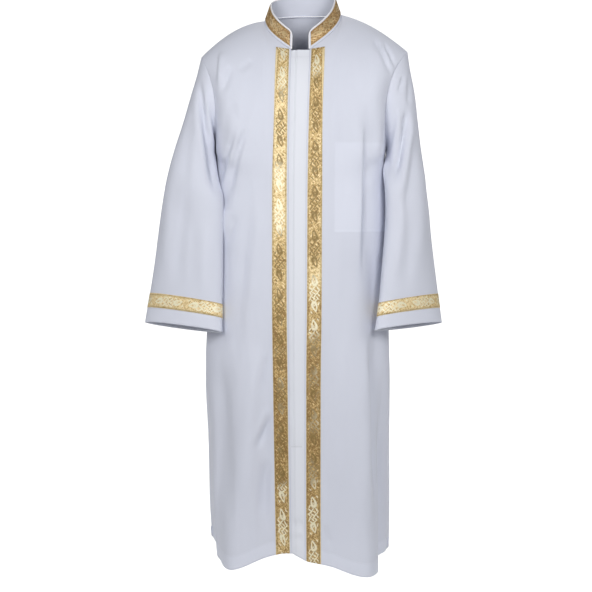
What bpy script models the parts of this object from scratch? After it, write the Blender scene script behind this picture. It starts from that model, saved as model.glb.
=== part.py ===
"""An imam robe: a long white robe with a stand collar and gold braid, with a placket between its fronts.

The robe keeps the hollow form that it has when it is worn, hanging from the shoulders. Every
piece is a wall of cloth. Metres, +Z up, the front faces -Y and the wearer's left is at +X. The
origin lies in the middle of the neck, level with the points where the shoulder seams start.

A place round the body is given by its girth: 0 at the centre front, SIDE_GIRTH at the wearer's
left side seam and twice that at the centre back, and the same below 0 on the wearer's right. It
is scaled so that each seam keeps its girth at every height.
"""

import math
from collections import namedtuple

import bpy
import numpy as np

OBJECT_NAME = "imam_robe"

# Walls and gaps
CLOTH_WALL = 0.0012
COLLAR_WALL = 0.0024
BRAID_WALL = 0.0010
POCKET_WALL = 0.0010
SEAM_GAP = 0.0003

# Gold braid
BRAID_WIDTH = 0.0365
BRAID_INSET = 0.0045
CUFF_BRAID_WIDTH = 0.036
CUFF_MARGIN = 0.0355

# Stand collar
COLLAR_HEIGHT = 0.045
COLLAR_LOW_MARGIN = 0.004
COLLAR_TOP_MARGIN = 0.002
COLLAR_LEAN_FRONT = 0.06
COLLAR_LEAN_SIDE = 0.36
PIPING_RADIUS = 0.0014

# Neck seam: half an ellipse in front and half behind, lowest at the edges of the fronts
NECK_HALF_WIDTH = 0.0975
NECK_FRONT_DEPTH = 0.084
NECK_BACK_DEPTH = 0.078
NECK_FRONT_HEIGHT = -0.089
NAPE_HEIGHT = 0.012

# Pocket bag behind the wearer's left front
POCKET_GIRTHS = (0.090, 0.235)
POCKET_TOP = -0.322
POCKET_BOTTOM = -0.545

# Girths of the seams, and the height of the row where the skirt ends and the yoke begins
SIDE_GIRTH = 0.32
YOKE_CENTRE_HEIGHT = -0.43
UNDERARM_HEIGHT = -0.335

# How the panels round over the shoulder, from upright below to level at the seam
SHOULDER_START = 2.0
SHOULDER_END = 0.75

# The sleeves leave the armholes over this share of their length, and stay clear of the body
ARMHOLE_REACH = 0.42
SLEEVE_LENGTH = 0.65
SLEEVE_CLEARANCE = 0.008
SLEEVE_LOFT = 0.010
CLEARANCE_REACH = 0.16

# How fine the pieces are
SKIRT_ROWS = 17
YOKE_ROWS = 11
FRONT_NECK_COLUMNS = 2
BACK_NECK_COLUMNS = 6
SHOULDER_COLUMNS = 7
SLEEVE_RINGS = 16
COLLAR_ROWS = 2
PLACKET_MIDDLE_COLUMNS = 3
FINE_STEPS = 120
TINY = 1e-9

# A panel's outer rows, each with the row inside it; a sleeve's base is its ring at the armhole
PANEL_EDGES = {
    "first": (np.s_[:, 0], np.s_[:, 1]),
    "last": (np.s_[:, -1], np.s_[:, -2]),
    "top": (np.s_[-1], np.s_[-2]),
    "base": (np.s_[0], np.s_[1]),
}
LARGEST_BEND = math.radians(70)

BodySection = namedtuple("BodySection", "height x_right x_left front back squareness")
BODY_SECTIONS = (
    BodySection(-0.089, -0.200, 0.200, 0.080, 0.090, 2.3),
    BodySection(-0.130, -0.205, 0.203, 0.104, 0.105, 2.3),
    BodySection(-0.200, -0.212, 0.206, 0.126, 0.120, 2.3),
    BodySection(-0.280, -0.217, 0.209, 0.139, 0.127, 2.3),
    BodySection(-0.360, -0.222, 0.212, 0.145, 0.128, 2.3),
    BodySection(-0.480, -0.229, 0.214, 0.149, 0.126, 2.3),
    BodySection(-0.620, -0.238, 0.217, 0.153, 0.128, 2.3),
    BodySection(-0.780, -0.246, 0.221, 0.157, 0.136, 2.3),
    BodySection(-0.930, -0.252, 0.224, 0.159, 0.144, 2.3),
    BodySection(-1.080, -0.246, 0.221, 0.160, 0.151, 2.3),
    BodySection(-1.240, -0.243, 0.219, 0.160, 0.157, 2.3),
    BodySection(-1.400, -0.233, 0.214, 0.160, 0.162, 2.3),
)

FrontEdge = namedtuple("FrontEdge", "height x_right x_left")
FRONT_EDGES = (
    FrontEdge(-0.089, -0.0300, 0.0165),
    FrontEdge(-0.250, -0.0340, 0.0100),
    FrontEdge(-0.460, -0.0360, 0.0060),
    FrontEdge(-0.710, -0.0360, 0.0050),
    FrontEdge(-0.930, -0.0335, 0.0030),
    FrontEdge(-1.200, -0.0305, 0.0030),
    FrontEdge(-1.400, -0.0275, 0.0040),
)

BackLine = namedtuple("BackLine", "height depth")
BACK_LINE = (
    BackLine(YOKE_CENTRE_HEIGHT, 0.127),
    BackLine(-0.280, 0.131),
    BackLine(-0.140, 0.122),
    BackLine(-0.040, 0.099),
    BackLine(NAPE_HEIGHT, NECK_BACK_DEPTH),
)

HemPoint = namedtuple("HemPoint", "place girth height")
HEM_POINTS = (
    HemPoint("centre back, wearer's right", -0.640, -1.362),
    HemPoint("back fold, wearer's right", -0.500, -1.372),
    HemPoint("side, wearer's right", -0.330, -1.338),
    HemPoint("front side, wearer's right", -0.260, -1.366),
    HemPoint("front fold, wearer's right", -0.175, -1.387),
    HemPoint("beside the braid, wearer's right", -0.085, -1.356),
    HemPoint("edge of the wearer's right front", -0.018, -1.344),
    HemPoint("edge of the wearer's left front", 0.018, -1.362),
    HemPoint("beside the braid, wearer's left", 0.070, -1.374),
    HemPoint("front fold, wearer's left", 0.175, -1.406),
    HemPoint("front side, wearer's left", 0.235, -1.404),
    HemPoint("side, wearer's left", 0.320, -1.368),
    HemPoint("back fold, wearer's left", 0.480, -1.372),
    HemPoint("centre back, wearer's left", 0.640, -1.362),
)

# Folds push the cloth out (or in, below 0) along a line from one girth and height to another
Fold = namedtuple("Fold", "name girth_top top girth_end end half_width at_top at_end")
BODY_FOLDS = (
    Fold("front fold of the right skirt", -0.140, -0.700, -0.175, -1.450, 0.070, 0.003, 0.030),
    Fold("trough beside the right braid", -0.085, -0.900, -0.065, -1.450, 0.060, 0.000, -0.016),
    Fold("side trough of the right skirt", -0.290, -0.900, -0.290, -1.450, 0.050, -0.003, -0.014),
    Fold("front fold of the left skirt", 0.130, -0.700, 0.170, -1.450, 0.080, 0.003, 0.030),
    Fold("side trough of the left skirt", 0.245, -0.850, 0.268, -1.450, 0.045, -0.004, -0.036),
    Fold("side fold of the left skirt", 0.350, -0.900, 0.350, -1.450, 0.050, 0.002, 0.014),
    Fold("back fold, wearer's right", -0.460, -0.550, -0.470, -1.450, 0.065, 0.004, 0.024),
    Fold("back trough, wearer's right", -0.390, -0.800, -0.385, -1.450, 0.045, -0.003, -0.014),
    Fold("back trough near the centre", -0.560, -0.500, -0.570, -1.450, 0.055, -0.004, -0.020),
    Fold("back fold near the centre", 0.600, -0.650, 0.605, -1.450, 0.060, 0.002, 0.014),
    Fold("back trough, wearer's left", 0.525, -0.450, 0.530, -1.450, 0.050, -0.004, -0.020),
    Fold("back fold, wearer's left", 0.440, -0.600, 0.450, -1.450, 0.055, 0.003, 0.022),
    Fold("drag fold of the right chest", -0.165, -0.150, -0.205, -0.290, 0.045, 0.003, 0.005),
    Fold("long drag fold of the right front", -0.120, -0.300, -0.205, -0.520, 0.045, 0.002, 0.005),
    Fold("drag trough of the left chest", 0.205, -0.110, 0.215, -0.300, 0.045, -0.003, -0.006),
    Fold("side trough of the left front", 0.235, -0.620, 0.195, -1.000, 0.045, -0.003, -0.007),
)

Place = namedtuple("Place", "x y z")
Side = namedtuple("Side", "name sign neck tip front under back shoulder_rise")
RIGHT = Side(
    name="right",
    sign=-1,
    neck=Place(-NECK_HALF_WIDTH, 0.000, -0.009),
    tip=Place(-0.2565, 0.000, -0.100),
    front=Place(-0.2215, -0.085, -0.205),
    under=Place(-0.2210, 0.000, UNDERARM_HEIGHT),
    back=Place(-0.2080, 0.085, -0.205),
    shoulder_rise=0.019,
)
LEFT = Side(
    name="left",
    sign=1,
    neck=Place(NECK_HALF_WIDTH, 0.000, 0.007),
    tip=Place(0.2660, 0.000, -0.088),
    front=Place(0.2125, -0.085, -0.190),
    under=Place(0.2112, 0.000, UNDERARM_HEIGHT),
    back=Place(0.2050, 0.085, -0.195),
    shoulder_rise=0.014,
)

# Rings of a sleeve: centre, half width from the outer side to the side next to the body, half
# depth, turn of the width in plan, slope of the width and slope of the depth, in degrees
SleeveSection = namedtuple("SleeveSection", "along x y z half_width half_depth turn slope pitch")
SLEEVE_SECTIONS = {
    "right": (
        SleeveSection(0.00, -0.240, 0.000, -0.205, 0.120, 0.085, 0, 78, 0),
        SleeveSection(0.18, -0.255, -0.004, -0.288, 0.072, 0.074, 10, 62, 2),
        SleeveSection(0.29, -0.259, -0.030, -0.352, 0.076, 0.063, 24, 46, 4),
        SleeveSection(0.40, -0.268, -0.052, -0.420, 0.089, 0.052, 36, 28, 6),
        SleeveSection(0.60, -0.281, -0.057, -0.530, 0.098, 0.049, 36, 14, 10),
        SleeveSection(0.80, -0.291, -0.064, -0.655, 0.106, 0.045, 34, 6, 13),
        SleeveSection(1.00, -0.303, -0.071, -0.784, 0.118, 0.041, 32, 3, 15),
    ),
    "left": (
        SleeveSection(0.00, 0.240, 0.000, -0.205, 0.120, 0.085, 0, 78, 0),
        SleeveSection(0.18, 0.248, -0.006, -0.288, 0.074, 0.072, 30, 58, 2),
        SleeveSection(0.29, 0.254, -0.024, -0.352, 0.078, 0.050, 60, 30, 4),
        SleeveSection(0.40, 0.261, -0.042, -0.420, 0.084, 0.042, 66, 14, 6),
        SleeveSection(0.60, 0.268, -0.052, -0.530, 0.090, 0.045, 61, 9, 10),
        SleeveSection(0.80, 0.268, -0.061, -0.655, 0.100, 0.044, 50, 4, 12),
        SleeveSection(1.00, 0.268, -0.070, -0.782, 0.114, 0.042, 41, 1, 14),
    ),
}

Finish = namedtuple("Finish", "colour roughness metallic")
WHITE_CLOTH = Finish((0.640, 0.650, 0.730), 0.75, 0.0)
PLACKET_CLOTH = Finish((0.740, 0.750, 0.810), 0.72, 0.0)
GOLD_BRAID = Finish((0.560, 0.400, 0.190), 0.38, 0.65)
PIPING_CLOTH = Finish((0.860, 0.860, 0.880), 0.50, 0.0)
POCKET_CLOTH = Finish((0.800, 0.800, 0.840), 0.80, 0.0)


def smooth_step(value):
    """0 below 0, 1 above 1 and an even S between them."""
    t = np.clip(value, 0.0, 1.0)
    return t * t * (3.0 - 2.0 * t)


def through(rows, key, name, at):
    """A smooth line through a named column of a table, level past its ends, with no overshoot."""
    table = sorted((getattr(row, key), getattr(row, name)) for row in rows)
    x, y = (np.array(values, float) for values in zip(*table))
    steps = np.diff(x)
    slopes = np.diff(y) / steps
    low, high = slopes[:-1], slopes[1:]
    same_way = low * high > 0
    middle = np.where(same_way, 2.0 * low * high / np.where(same_way, low + high, 1.0), 0.0)
    tangents = np.concatenate([[slopes[0]], middle, [slopes[-1]]])
    at = float(np.clip(at, x[0], x[-1]))
    i = int(np.clip(np.searchsorted(x, at) - 1, 0, len(steps) - 1))
    t = (at - x[i]) / steps[i]
    return (
        y[i] * (1 + 2 * t) * (1 - t) ** 2
        + y[i + 1] * t * t * (3 - 2 * t)
        + steps[i] * (tangents[i] * t * (1 - t) ** 2 - tangents[i + 1] * t * t * (1 - t))
    )


def unit(vectors):
    """Vectors at a length of one."""
    return vectors / np.maximum(np.linalg.norm(vectors, axis=-1, keepdims=True), TINY)


def arc_lengths(line):
    """The distance of each of a line's points from its start."""
    steps = np.linalg.norm(np.diff(line, axis=0), axis=1)
    return np.concatenate([[0.0], np.cumsum(steps)])


def spread_on(line, distances):
    """Points on a line at the given distances from its start."""
    along = arc_lengths(line)
    return np.stack([np.interp(distances, along, line[:, axis]) for axis in range(3)], axis=-1)


def evenly_on(line, count):
    """Points that part a line into equal stretches, without its first point."""
    return spread_on(line, np.linspace(0.0, arc_lengths(line)[-1], count + 1)[1:])


def section_at(height):
    """The body's section at a height."""
    values = [through(BODY_SECTIONS, "height", name, height) for name in BodySection._fields[1:]]
    return BodySection(height, *values)


def quarter_line(side, back, height):
    """A quarter of the body's section, from the centre front or centre back to a side seam."""
    section = section_at(height)
    turns = np.linspace(0.0, math.pi / 2, FINE_STEPS)
    power = 2.0 / section.squareness
    centre = (section.x_left + section.x_right) / 2
    half_width = (section.x_left - section.x_right) / 2
    depth = section.back if back else -section.front
    x = centre + side.sign * half_width * np.sin(turns) ** power
    y = depth * np.maximum(np.cos(turns), 0.0) ** power
    return np.stack([x, y, np.full_like(x, height)], axis=1)


def body_point(girth, height):
    """A point of the body without its folds."""
    side = LEFT if girth > 0 else RIGHT
    back = abs(girth) > SIDE_GIRTH
    line = quarter_line(side, back, height)
    share = (2.0 - abs(girth) / SIDE_GIRTH) if back else abs(girth) / SIDE_GIRTH
    return spread_on(line, share * arc_lengths(line)[-1])


def edge_x(side, height):
    """Where the edge of a front lies across the body."""
    return through(FRONT_EDGES, "height", f"x_{side.name}", height)


def front_girths(side, height):
    """The girths of a front's columns, with two stretches under its braid."""
    line = quarter_line(side, False, height)
    length = arc_lengths(line)[-1]
    start = abs(edge_x(side, height) - line[0][0])
    inset = start + BRAID_INSET
    braid = [start, inset, inset + BRAID_WIDTH / 2, inset + BRAID_WIDTH]
    rest = np.linspace(braid[-1], length, FRONT_NECK_COLUMNS + SHOULDER_COLUMNS + 1)[1:]
    return side.sign * np.concatenate([braid, rest]) / length * SIDE_GIRTH


def back_girths():
    """The girths of the back's columns, from the wearer's right side seam to the left."""
    columns = BACK_NECK_COLUMNS + SHOULDER_COLUMNS
    right = -np.linspace(SIDE_GIRTH, 2 * SIDE_GIRTH, columns + 1)
    return np.concatenate([right, -right[:-1][::-1]])


def hem_height(girth):
    """The height of the hem at a girth."""
    return through(HEM_POINTS, "girth", "height", girth)


def yoke_height(girth):
    """The height of the row where the skirt ends, which rises towards the side seams."""
    share = 1.0 - abs(abs(girth) / SIDE_GIRTH - 1.0)
    return YOKE_CENTRE_HEIGHT + (UNDERARM_HEIGHT - YOKE_CENTRE_HEIGHT) * share**2


def fold_height(girth, height):
    """How far the folds push the cloth outwards at a place on the body."""
    total = 0.0
    here = np.array([girth, height])
    for fold in BODY_FOLDS:
        start = np.array([fold.girth_top, fold.top])
        run = np.array([fold.girth_end, fold.end]) - start
        t = float(np.clip(np.dot(here - start, run) / np.dot(run, run), 0.0, 1.0))
        away = float(np.linalg.norm(here - start - run * t)) / fold.half_width
        total += (fold.at_top + (fold.at_end - fold.at_top) * t) * float(smooth_step(1.0 - away))
    return total


def neck_line(side, back):
    """Half the neck seam on one side, from the shoulder seam to the front's edge or the nape."""
    start = np.array(side.neck)
    reach = abs(edge_x(side, NECK_FRONT_HEIGHT)) / NECK_HALF_WIDTH
    last = math.pi / 2 if back else math.acos(reach)
    angles = np.linspace(0.0, last, FINE_STEPS)
    x = start[0] * np.cos(angles)
    if back:
        rise = (NAPE_HEIGHT - start[2]) * np.sin(angles)
        return np.stack([x, NECK_BACK_DEPTH * np.sin(angles), start[2] + rise], axis=1)
    drop = (NECK_FRONT_HEIGHT - start[2]) * angles / last
    return np.stack([x, -NECK_FRONT_DEPTH * np.sin(angles), start[2] + drop], axis=1)


def shoulder_line(side):
    """The shoulder seam, from the neck to the tip of the shoulder."""
    t = np.linspace(0.0, 1.0, FINE_STEPS)[:, None]
    start, tip = np.array(side.neck), np.array(side.tip)
    line = start + (tip - start) * t
    line[:, 2] += side.shoulder_rise * 4.0 * (t * (1.0 - t))[:, 0]
    return line


def armhole_point(side, angle):
    """A point of the armhole: 0 degrees at the tip, 90 in front, 180 under the arm, 270 behind."""
    tip, front, under, back = (np.array(p) for p in (side.tip, side.front, side.under, side.back))
    a = math.radians(angle)
    return (
        (tip + front + under + back) / 4
        + (tip - under) / 2 * math.cos(a)
        + (front - back) / 2 * math.sin(a)
        + (tip + under - front - back) / 4 * math.cos(2 * a)
    )


def skirt_shares():
    """How far up the skirt each of its rows lies, closer together at the hem."""
    t = np.linspace(0.0, 1.0, SKIRT_ROWS)
    return 0.75 * t + 0.25 * t**2


def yoke_shares():
    """How far up the yoke each of its rows lies, closer together at the shoulder."""
    t = np.linspace(0.0, 1.0, YOKE_ROWS + 1)[1:]
    return 1.0 - (1.0 - t) ** 1.2


def armhole_angles():
    """The angles of the armhole's points, which are those of the panels' rows."""
    front = 180.0 * (1.0 - yoke_shares()[::-1])
    back = 180.0 + 180.0 * np.concatenate([[0.0], yoke_shares()[:-1]])
    return np.concatenate([front, back])


def skirt_grid(columns_at):
    """The rows of a panel below the yoke; columns_at gives the girths of a row near a height."""
    rows = []
    for share in skirt_shares():
        level = hem_height(0.0) + (YOKE_CENTRE_HEIGHT - hem_height(0.0)) * share
        row = []
        for girth in columns_at(level):
            hem = hem_height(girth)
            row.append(body_point(girth, hem + (yoke_height(girth) - hem) * share))
        rows.append(row)
    return np.array(rows)


def ruled(low, high, t):
    """A row between a low and a high row, rounding over the shoulder in depth."""
    row = low + (high - low) * t
    over = 1.0 - (1.0 - t**SHOULDER_START) ** SHOULDER_END
    row[..., 1] = low[..., 1] + (high[..., 1] - low[..., 1]) * over
    return row


def yoke_grid(low, high, first_edge, last_edge):
    """Rows from a low row to a high one that keep to both edges, each a function of 0 to 1."""
    place = arc_lengths(low) / arc_lengths(low)[-1]
    share = smooth_step(place)[:, None]
    rows = []
    for t in yoke_shares():
        row = ruled(low, high, t)
        rows.append(row + (first_edge(t) - row[0]) * (1 - share) + (last_edge(t) - row[-1]) * share)
    return np.array(rows)


def outward(grid, ring=False):
    """Each point's direction out of the cloth, from its neighbours in the panel or the ring."""
    if ring:
        return outward(np.concatenate([grid[:, -1:], grid, grid[:, :1]], axis=1))[:, 1:-1]
    normals = unit(np.cross(np.gradient(grid, axis=1), np.gradient(grid, axis=0)))
    middle = grid.reshape(-1, 3).mean(axis=0) * [1.0, 0.0, 1.0]
    return normals if (normals * (grid - middle)).sum() > 0 else -normals


def folded(grid, girths, seams):
    """A panel with its folds, which die out at the yoke's edges and keep the side seams together."""
    normals = outward(grid)
    for column, side in seams.items():
        normals[:SKIRT_ROWS, column] = (side.sign, 0.0, 0.0)
    result = grid.copy()
    for i, row in enumerate(grid):
        up = max(0, i - SKIRT_ROWS + 1) / YOKE_ROWS
        for j, point in enumerate(row):
            near = min(abs(j - column) for column in seams) / 3.0
            still = 1.0 if i < SKIRT_ROWS - 1 else (1.0 - up**3) * min(1.0, near)
            result[i, j] = point + normals[i, j] * fold_height(girths[j], point[2]) * still
    return result


def front_grid(side):
    """The outer face of a front: rows from the hem up, columns from its edge to its side seam."""
    skirt = skirt_grid(lambda height: front_girths(side, height))
    low = skirt[-1]
    neck = neck_line(side, back=False)[::-1]
    in_plan = arc_lengths(neck * [1.0, 1.0, 0.0])
    braid = np.array([0.0, BRAID_INSET, BRAID_INSET + BRAID_WIDTH / 2, BRAID_INSET + BRAID_WIDTH])
    at_braid = np.interp(braid, in_plan, arc_lengths(neck))
    past = np.linspace(at_braid[-1], arc_lengths(neck)[-1], FRONT_NECK_COLUMNS + 1)[1:]
    at_neck = spread_on(neck, np.concatenate([at_braid, past]))
    high = np.vstack([at_neck, evenly_on(shoulder_line(side), SHOULDER_COLUMNS)])

    def edge(t):
        height = low[0][2] + (high[0][2] - low[0][2]) * t
        to_neck = (high[0][1] + section_at(NECK_FRONT_HEIGHT).front) * t**4
        return np.array([edge_x(side, height), to_neck - section_at(height).front, height])

    def armhole(t):
        return armhole_point(side, 180.0 * (1.0 - t))

    grid = np.vstack([skirt, yoke_grid(low, high, edge, armhole)])
    return folded(grid, front_girths(side, YOKE_CENTRE_HEIGHT), {grid.shape[1] - 1: side})


def half_back_yoke(side, low):
    """Half the back's yoke: rows from the skirt up, columns from the armhole to the centre."""
    shoulder = shoulder_line(side)[::-1]
    on_shoulder = evenly_on(shoulder, SHOULDER_COLUMNS)
    on_neck = evenly_on(neck_line(side, back=True), BACK_NECK_COLUMNS)
    high = np.vstack([shoulder[:1], on_shoulder, on_neck])

    def armhole(t):
        return armhole_point(side, 180.0 + 180.0 * t)

    def centre(t):
        height = low[-1][2] + (NAPE_HEIGHT - low[-1][2]) * t
        x = low[-1][0] * (1.0 - smooth_step(t))
        return np.array([x, through(BACK_LINE, "height", "depth", height), height])

    return yoke_grid(low, high, armhole, centre)


def back_grid():
    """The outer face of the back, from the wearer's right side seam to the left."""
    girths = back_girths()
    skirt = skirt_grid(lambda height: girths)
    middle = len(girths) // 2
    right = half_back_yoke(RIGHT, skirt[-1, : middle + 1])
    left = half_back_yoke(LEFT, skirt[-1, middle:][::-1])
    yoke = np.concatenate([right, left[:, :-1][:, ::-1]], axis=1)
    grid = np.vstack([skirt, yoke])
    return folded(grid, girths, {0: RIGHT, len(girths) - 1: LEFT})


def clear_of_body(point, gap):
    """The point, moved away from the body's axis if it is nearer to the body than the gap."""
    section = section_at(point[2])
    centre = np.array([(section.x_left + section.x_right) / 2, 0.0])
    half_width = (section.x_left - section.x_right) / 2 + gap
    depth = (section.back if point[1] > 0 else section.front) + gap
    away = point[:2] - centre
    power = section.squareness
    level = (abs(away[0]) / half_width) ** power + (abs(away[1]) / depth) ** power
    if level < 1.0:
        point = point.copy()
        point[:2] = centre + away / level ** (1.0 / power)
    return point


def sleeve_ring(side, along):
    """A ring of a sleeve: 0 degrees on the outer side, 90 in front, 180 next to the body."""
    ring = SleeveSection(
        along,
        *(
            through(SLEEVE_SECTIONS[side.name], "along", name, along)
            for name in SleeveSection._fields[1:]
        ),
    )
    turn, slope, pitch = (math.radians(angle) for angle in (ring.turn, ring.slope, ring.pitch))
    across = np.array([
        side.sign * math.cos(slope) * math.cos(turn),
        math.cos(slope) * math.sin(turn),
        math.sin(slope),
    ])
    deep = np.array([
        side.sign * math.sin(turn) * math.cos(pitch),
        -math.cos(turn) * math.cos(pitch),
        math.sin(pitch),
    ])
    from_armhole = 1.0 - float(smooth_step(along / ARMHOLE_REACH))
    clearance = float(smooth_step(along / CLEARANCE_REACH))
    points = []
    for angle in armhole_angles():
        a = math.radians(angle)
        on_ring = (
            np.array([ring.x, ring.y, ring.z])
            + across * ring.half_width * math.cos(a)
            + deep * ring.half_depth * math.sin(a)
        )
        point = armhole_point(side, angle) * from_armhole + on_ring * (1.0 - from_armhole)
        loft = SLEEVE_LOFT * (0.5 + 0.5 * math.sin(a))
        if clearance > 0:
            point = clear_of_body(point, clearance * (SLEEVE_CLEARANCE + loft))
        points.append(point)
    return np.array(points)


def sleeve_grid(side):
    """The outer face of a sleeve, ring by ring from the armhole to the hem."""
    hem = CUFF_MARGIN / SLEEVE_LENGTH
    braid = CUFF_BRAID_WIDTH / SLEEVE_LENGTH
    upper = np.linspace(0.0, 1.0 - hem - braid, SLEEVE_RINGS - 3)
    places = np.concatenate([upper, [1.0 - hem - braid / 2, 1.0 - hem, 1.0]])
    return np.array([sleeve_ring(side, along) for along in places])


def collar_heights():
    """The heights of the stand's rows above the neck seam, with rows at the braid's edges."""
    braid = np.linspace(COLLAR_LOW_MARGIN, COLLAR_HEIGHT - COLLAR_TOP_MARGIN, COLLAR_ROWS + 1)
    return np.concatenate([[SEAM_GAP], braid, [COLLAR_HEIGHT]])


def collar_grid(fronts, back):
    """The outer face of the stand collar, on the points of the panels' neck seams."""
    columns = 4 + FRONT_NECK_COLUMNS
    base = np.vstack([
        fronts["right"][-1, :columns],
        back[-1, SHOULDER_COLUMNS + 1 : -SHOULDER_COLUMNS - 1],
        fronts["left"][-1, :columns][::-1],
    ])
    inwards = unit(-base * [1.0, 1.0, 0.0])
    to_the_side = (np.abs(base[:, :1]) / NECK_HALF_WIDTH) ** 2
    lean = COLLAR_LEAN_FRONT + (COLLAR_LEAN_SIDE - COLLAR_LEAN_FRONT) * to_the_side
    upwards = unit(np.array([0.0, 0.0, 1.0]) + inwards * lean)
    return np.array([base + upwards * height for height in collar_heights()])


def setback(edge, inner, beyond):
    """How far a wall stops short of a seam, so that its corners stay clear of the next wall's."""
    arriving, leaving = unit(edge - inner), unit(beyond - edge)
    bend = np.arccos(np.clip((arriving * leaving).sum(axis=1), -1.0, 1.0))
    return SEAM_GAP / 2 + CLOTH_WALL * np.tan(np.minimum(bend, LARGEST_BEND) / 2)


def stopping_short(grid, seams):
    """A panel that stops short of its seams; seams gives the next points beyond each edge."""
    result = grid.copy()
    for name, beyond in seams.items():
        edge, inner = PANEL_EDGES[name]
        distance = setback(grid[edge], grid[inner], beyond)
        result[edge] += unit(grid[inner] - grid[edge]) * distance[:, None]
    return result


def make_material(name, finish):
    """A plain finish."""
    material = bpy.data.materials.new(name)
    material.use_nodes = True
    shader = material.node_tree.nodes["Principled BSDF"]
    shader.inputs["Base Color"].default_value = (*finish.colour, 1.0)
    shader.inputs["Roughness"].default_value = finish.roughness
    shader.inputs["Metallic"].default_value = finish.metallic
    return material


def finish_piece(piece, name, finish, collection):
    """Name a piece, give it its finish and put it in the robe's collection."""
    piece.name = name
    piece.data.name = name
    piece.data.materials.append(make_material(name + "_finish", finish))
    for home in list(piece.users_collection):
        home.objects.unlink(piece)
    collection.objects.link(piece)


def make_cloth(name, grid, wall, finish, collection, outwards=False, ring=False):
    """A wall of cloth: a grid primitive moved to the points of a panel or a ring, and thickened."""
    points = np.concatenate([grid, grid[:, :1]], axis=1) if ring else grid
    rows, columns = points.shape[:2]
    bpy.ops.mesh.primitive_grid_add(x_subdivisions=columns - 1, y_subdivisions=rows - 1, size=1.0)
    piece = bpy.context.object
    mesh = piece.data
    mesh.vertices.foreach_set("co", points.reshape(-1))
    mesh.update()
    wanted = outward(points)[:-1, :-1].reshape(-1, 3)
    facing = sum(float(np.dot(face.normal, way)) for face, way in zip(mesh.polygons, wanted))
    if facing < 0:
        mesh.flip_normals()
    if ring:
        weld = piece.modifiers.new("closed ring", "WELD")
        weld.merge_threshold = SEAM_GAP / 10
    solid = piece.modifiers.new("cloth", "SOLIDIFY")
    solid.thickness = wall
    solid.offset = 1.0 if outwards else -1.0
    mesh.shade_smooth()
    finish_piece(piece, name, finish, collection)


def make_front(side, grid, back, sleeve, collar, collection):
    """A front and the gold braid along its edge."""
    last = SKIRT_ROWS - 1
    neck_columns = 4 + FRONT_NECK_COLUMNS
    back_columns = slice(1, None, 1) if side is RIGHT else slice(-2, None, -1)
    side_seam = back[:last, 1 if side is RIGHT else -2]
    armhole = sleeve[1, : YOKE_ROWS + 1][::-1]
    shoulder = (back[-2] if side is RIGHT else back[-2, ::-1])[:SHOULDER_COLUMNS][::-1]
    neck = (collar[1] if side is RIGHT else collar[1, ::-1])[:neck_columns]
    panel = stopping_short(grid, {
        "last": np.vstack([side_seam, armhole]),
        "top": np.vstack([neck, shoulder]),
    })
    braid = (panel + outward(panel) * SEAM_GAP)[:, 1:4]
    if side is RIGHT:
        panel, braid = panel[:, ::-1], braid[:, ::-1]
    make_cloth(f"front_{side.name}", panel, CLOTH_WALL, WHITE_CLOTH, collection)
    make_cloth(f"band_{side.name}", braid, BRAID_WALL, GOLD_BRAID, collection, outwards=True)


def make_back(grid, fronts, sleeves, collar, collection):
    """The back, in one piece."""
    last = SKIRT_ROWS - 1
    ends = {}
    shoulders = []
    for side in (RIGHT, LEFT):
        front, sleeve = fronts[side.name], sleeves[side.name]
        armhole = np.vstack([sleeve[1, YOKE_ROWS:], sleeve[1, :1]])
        ends[side.name] = np.vstack([front[:last, -2], armhole])
        shoulders.append(front[-2, -SHOULDER_COLUMNS:])
    neck_columns = 3 + FRONT_NECK_COLUMNS
    neck = collar[1, neck_columns : collar.shape[1] - neck_columns]
    panel = stopping_short(grid, {
        "first": ends["right"],
        "last": ends["left"],
        "top": np.vstack([shoulders[0][::-1], neck, shoulders[1]]),
    })
    make_cloth("back", panel, CLOTH_WALL, WHITE_CLOTH, collection)


def make_sleeve(side, grid, front, back, collection):
    """A sleeve and the gold braid round its cuff."""
    last = SKIRT_ROWS - 1
    back_column = back[last + 1 : -1, 1 if side is RIGHT else -2]
    inner = np.vstack([front[last:, -2][::-1], back_column])
    tube = stopping_short(grid, {"base": inner})
    make_cloth(f"sleeve_{side.name}", tube, CLOTH_WALL, WHITE_CLOTH, collection, ring=True)
    braid = (grid + outward(grid, ring=True) * SEAM_GAP)[-4:-1]
    make_cloth(
        f"cuff_band_{side.name}", braid, BRAID_WALL, GOLD_BRAID, collection, outwards=True, ring=True
    )


def edgeways(edge, inner, away):
    """The directions out of a cloth's edge, square to it and within the cloth."""
    across = unit(np.cross(np.gradient(edge, axis=0), away))
    return across * np.sign((across * (edge - inner)).sum(axis=1))[:, None]


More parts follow.
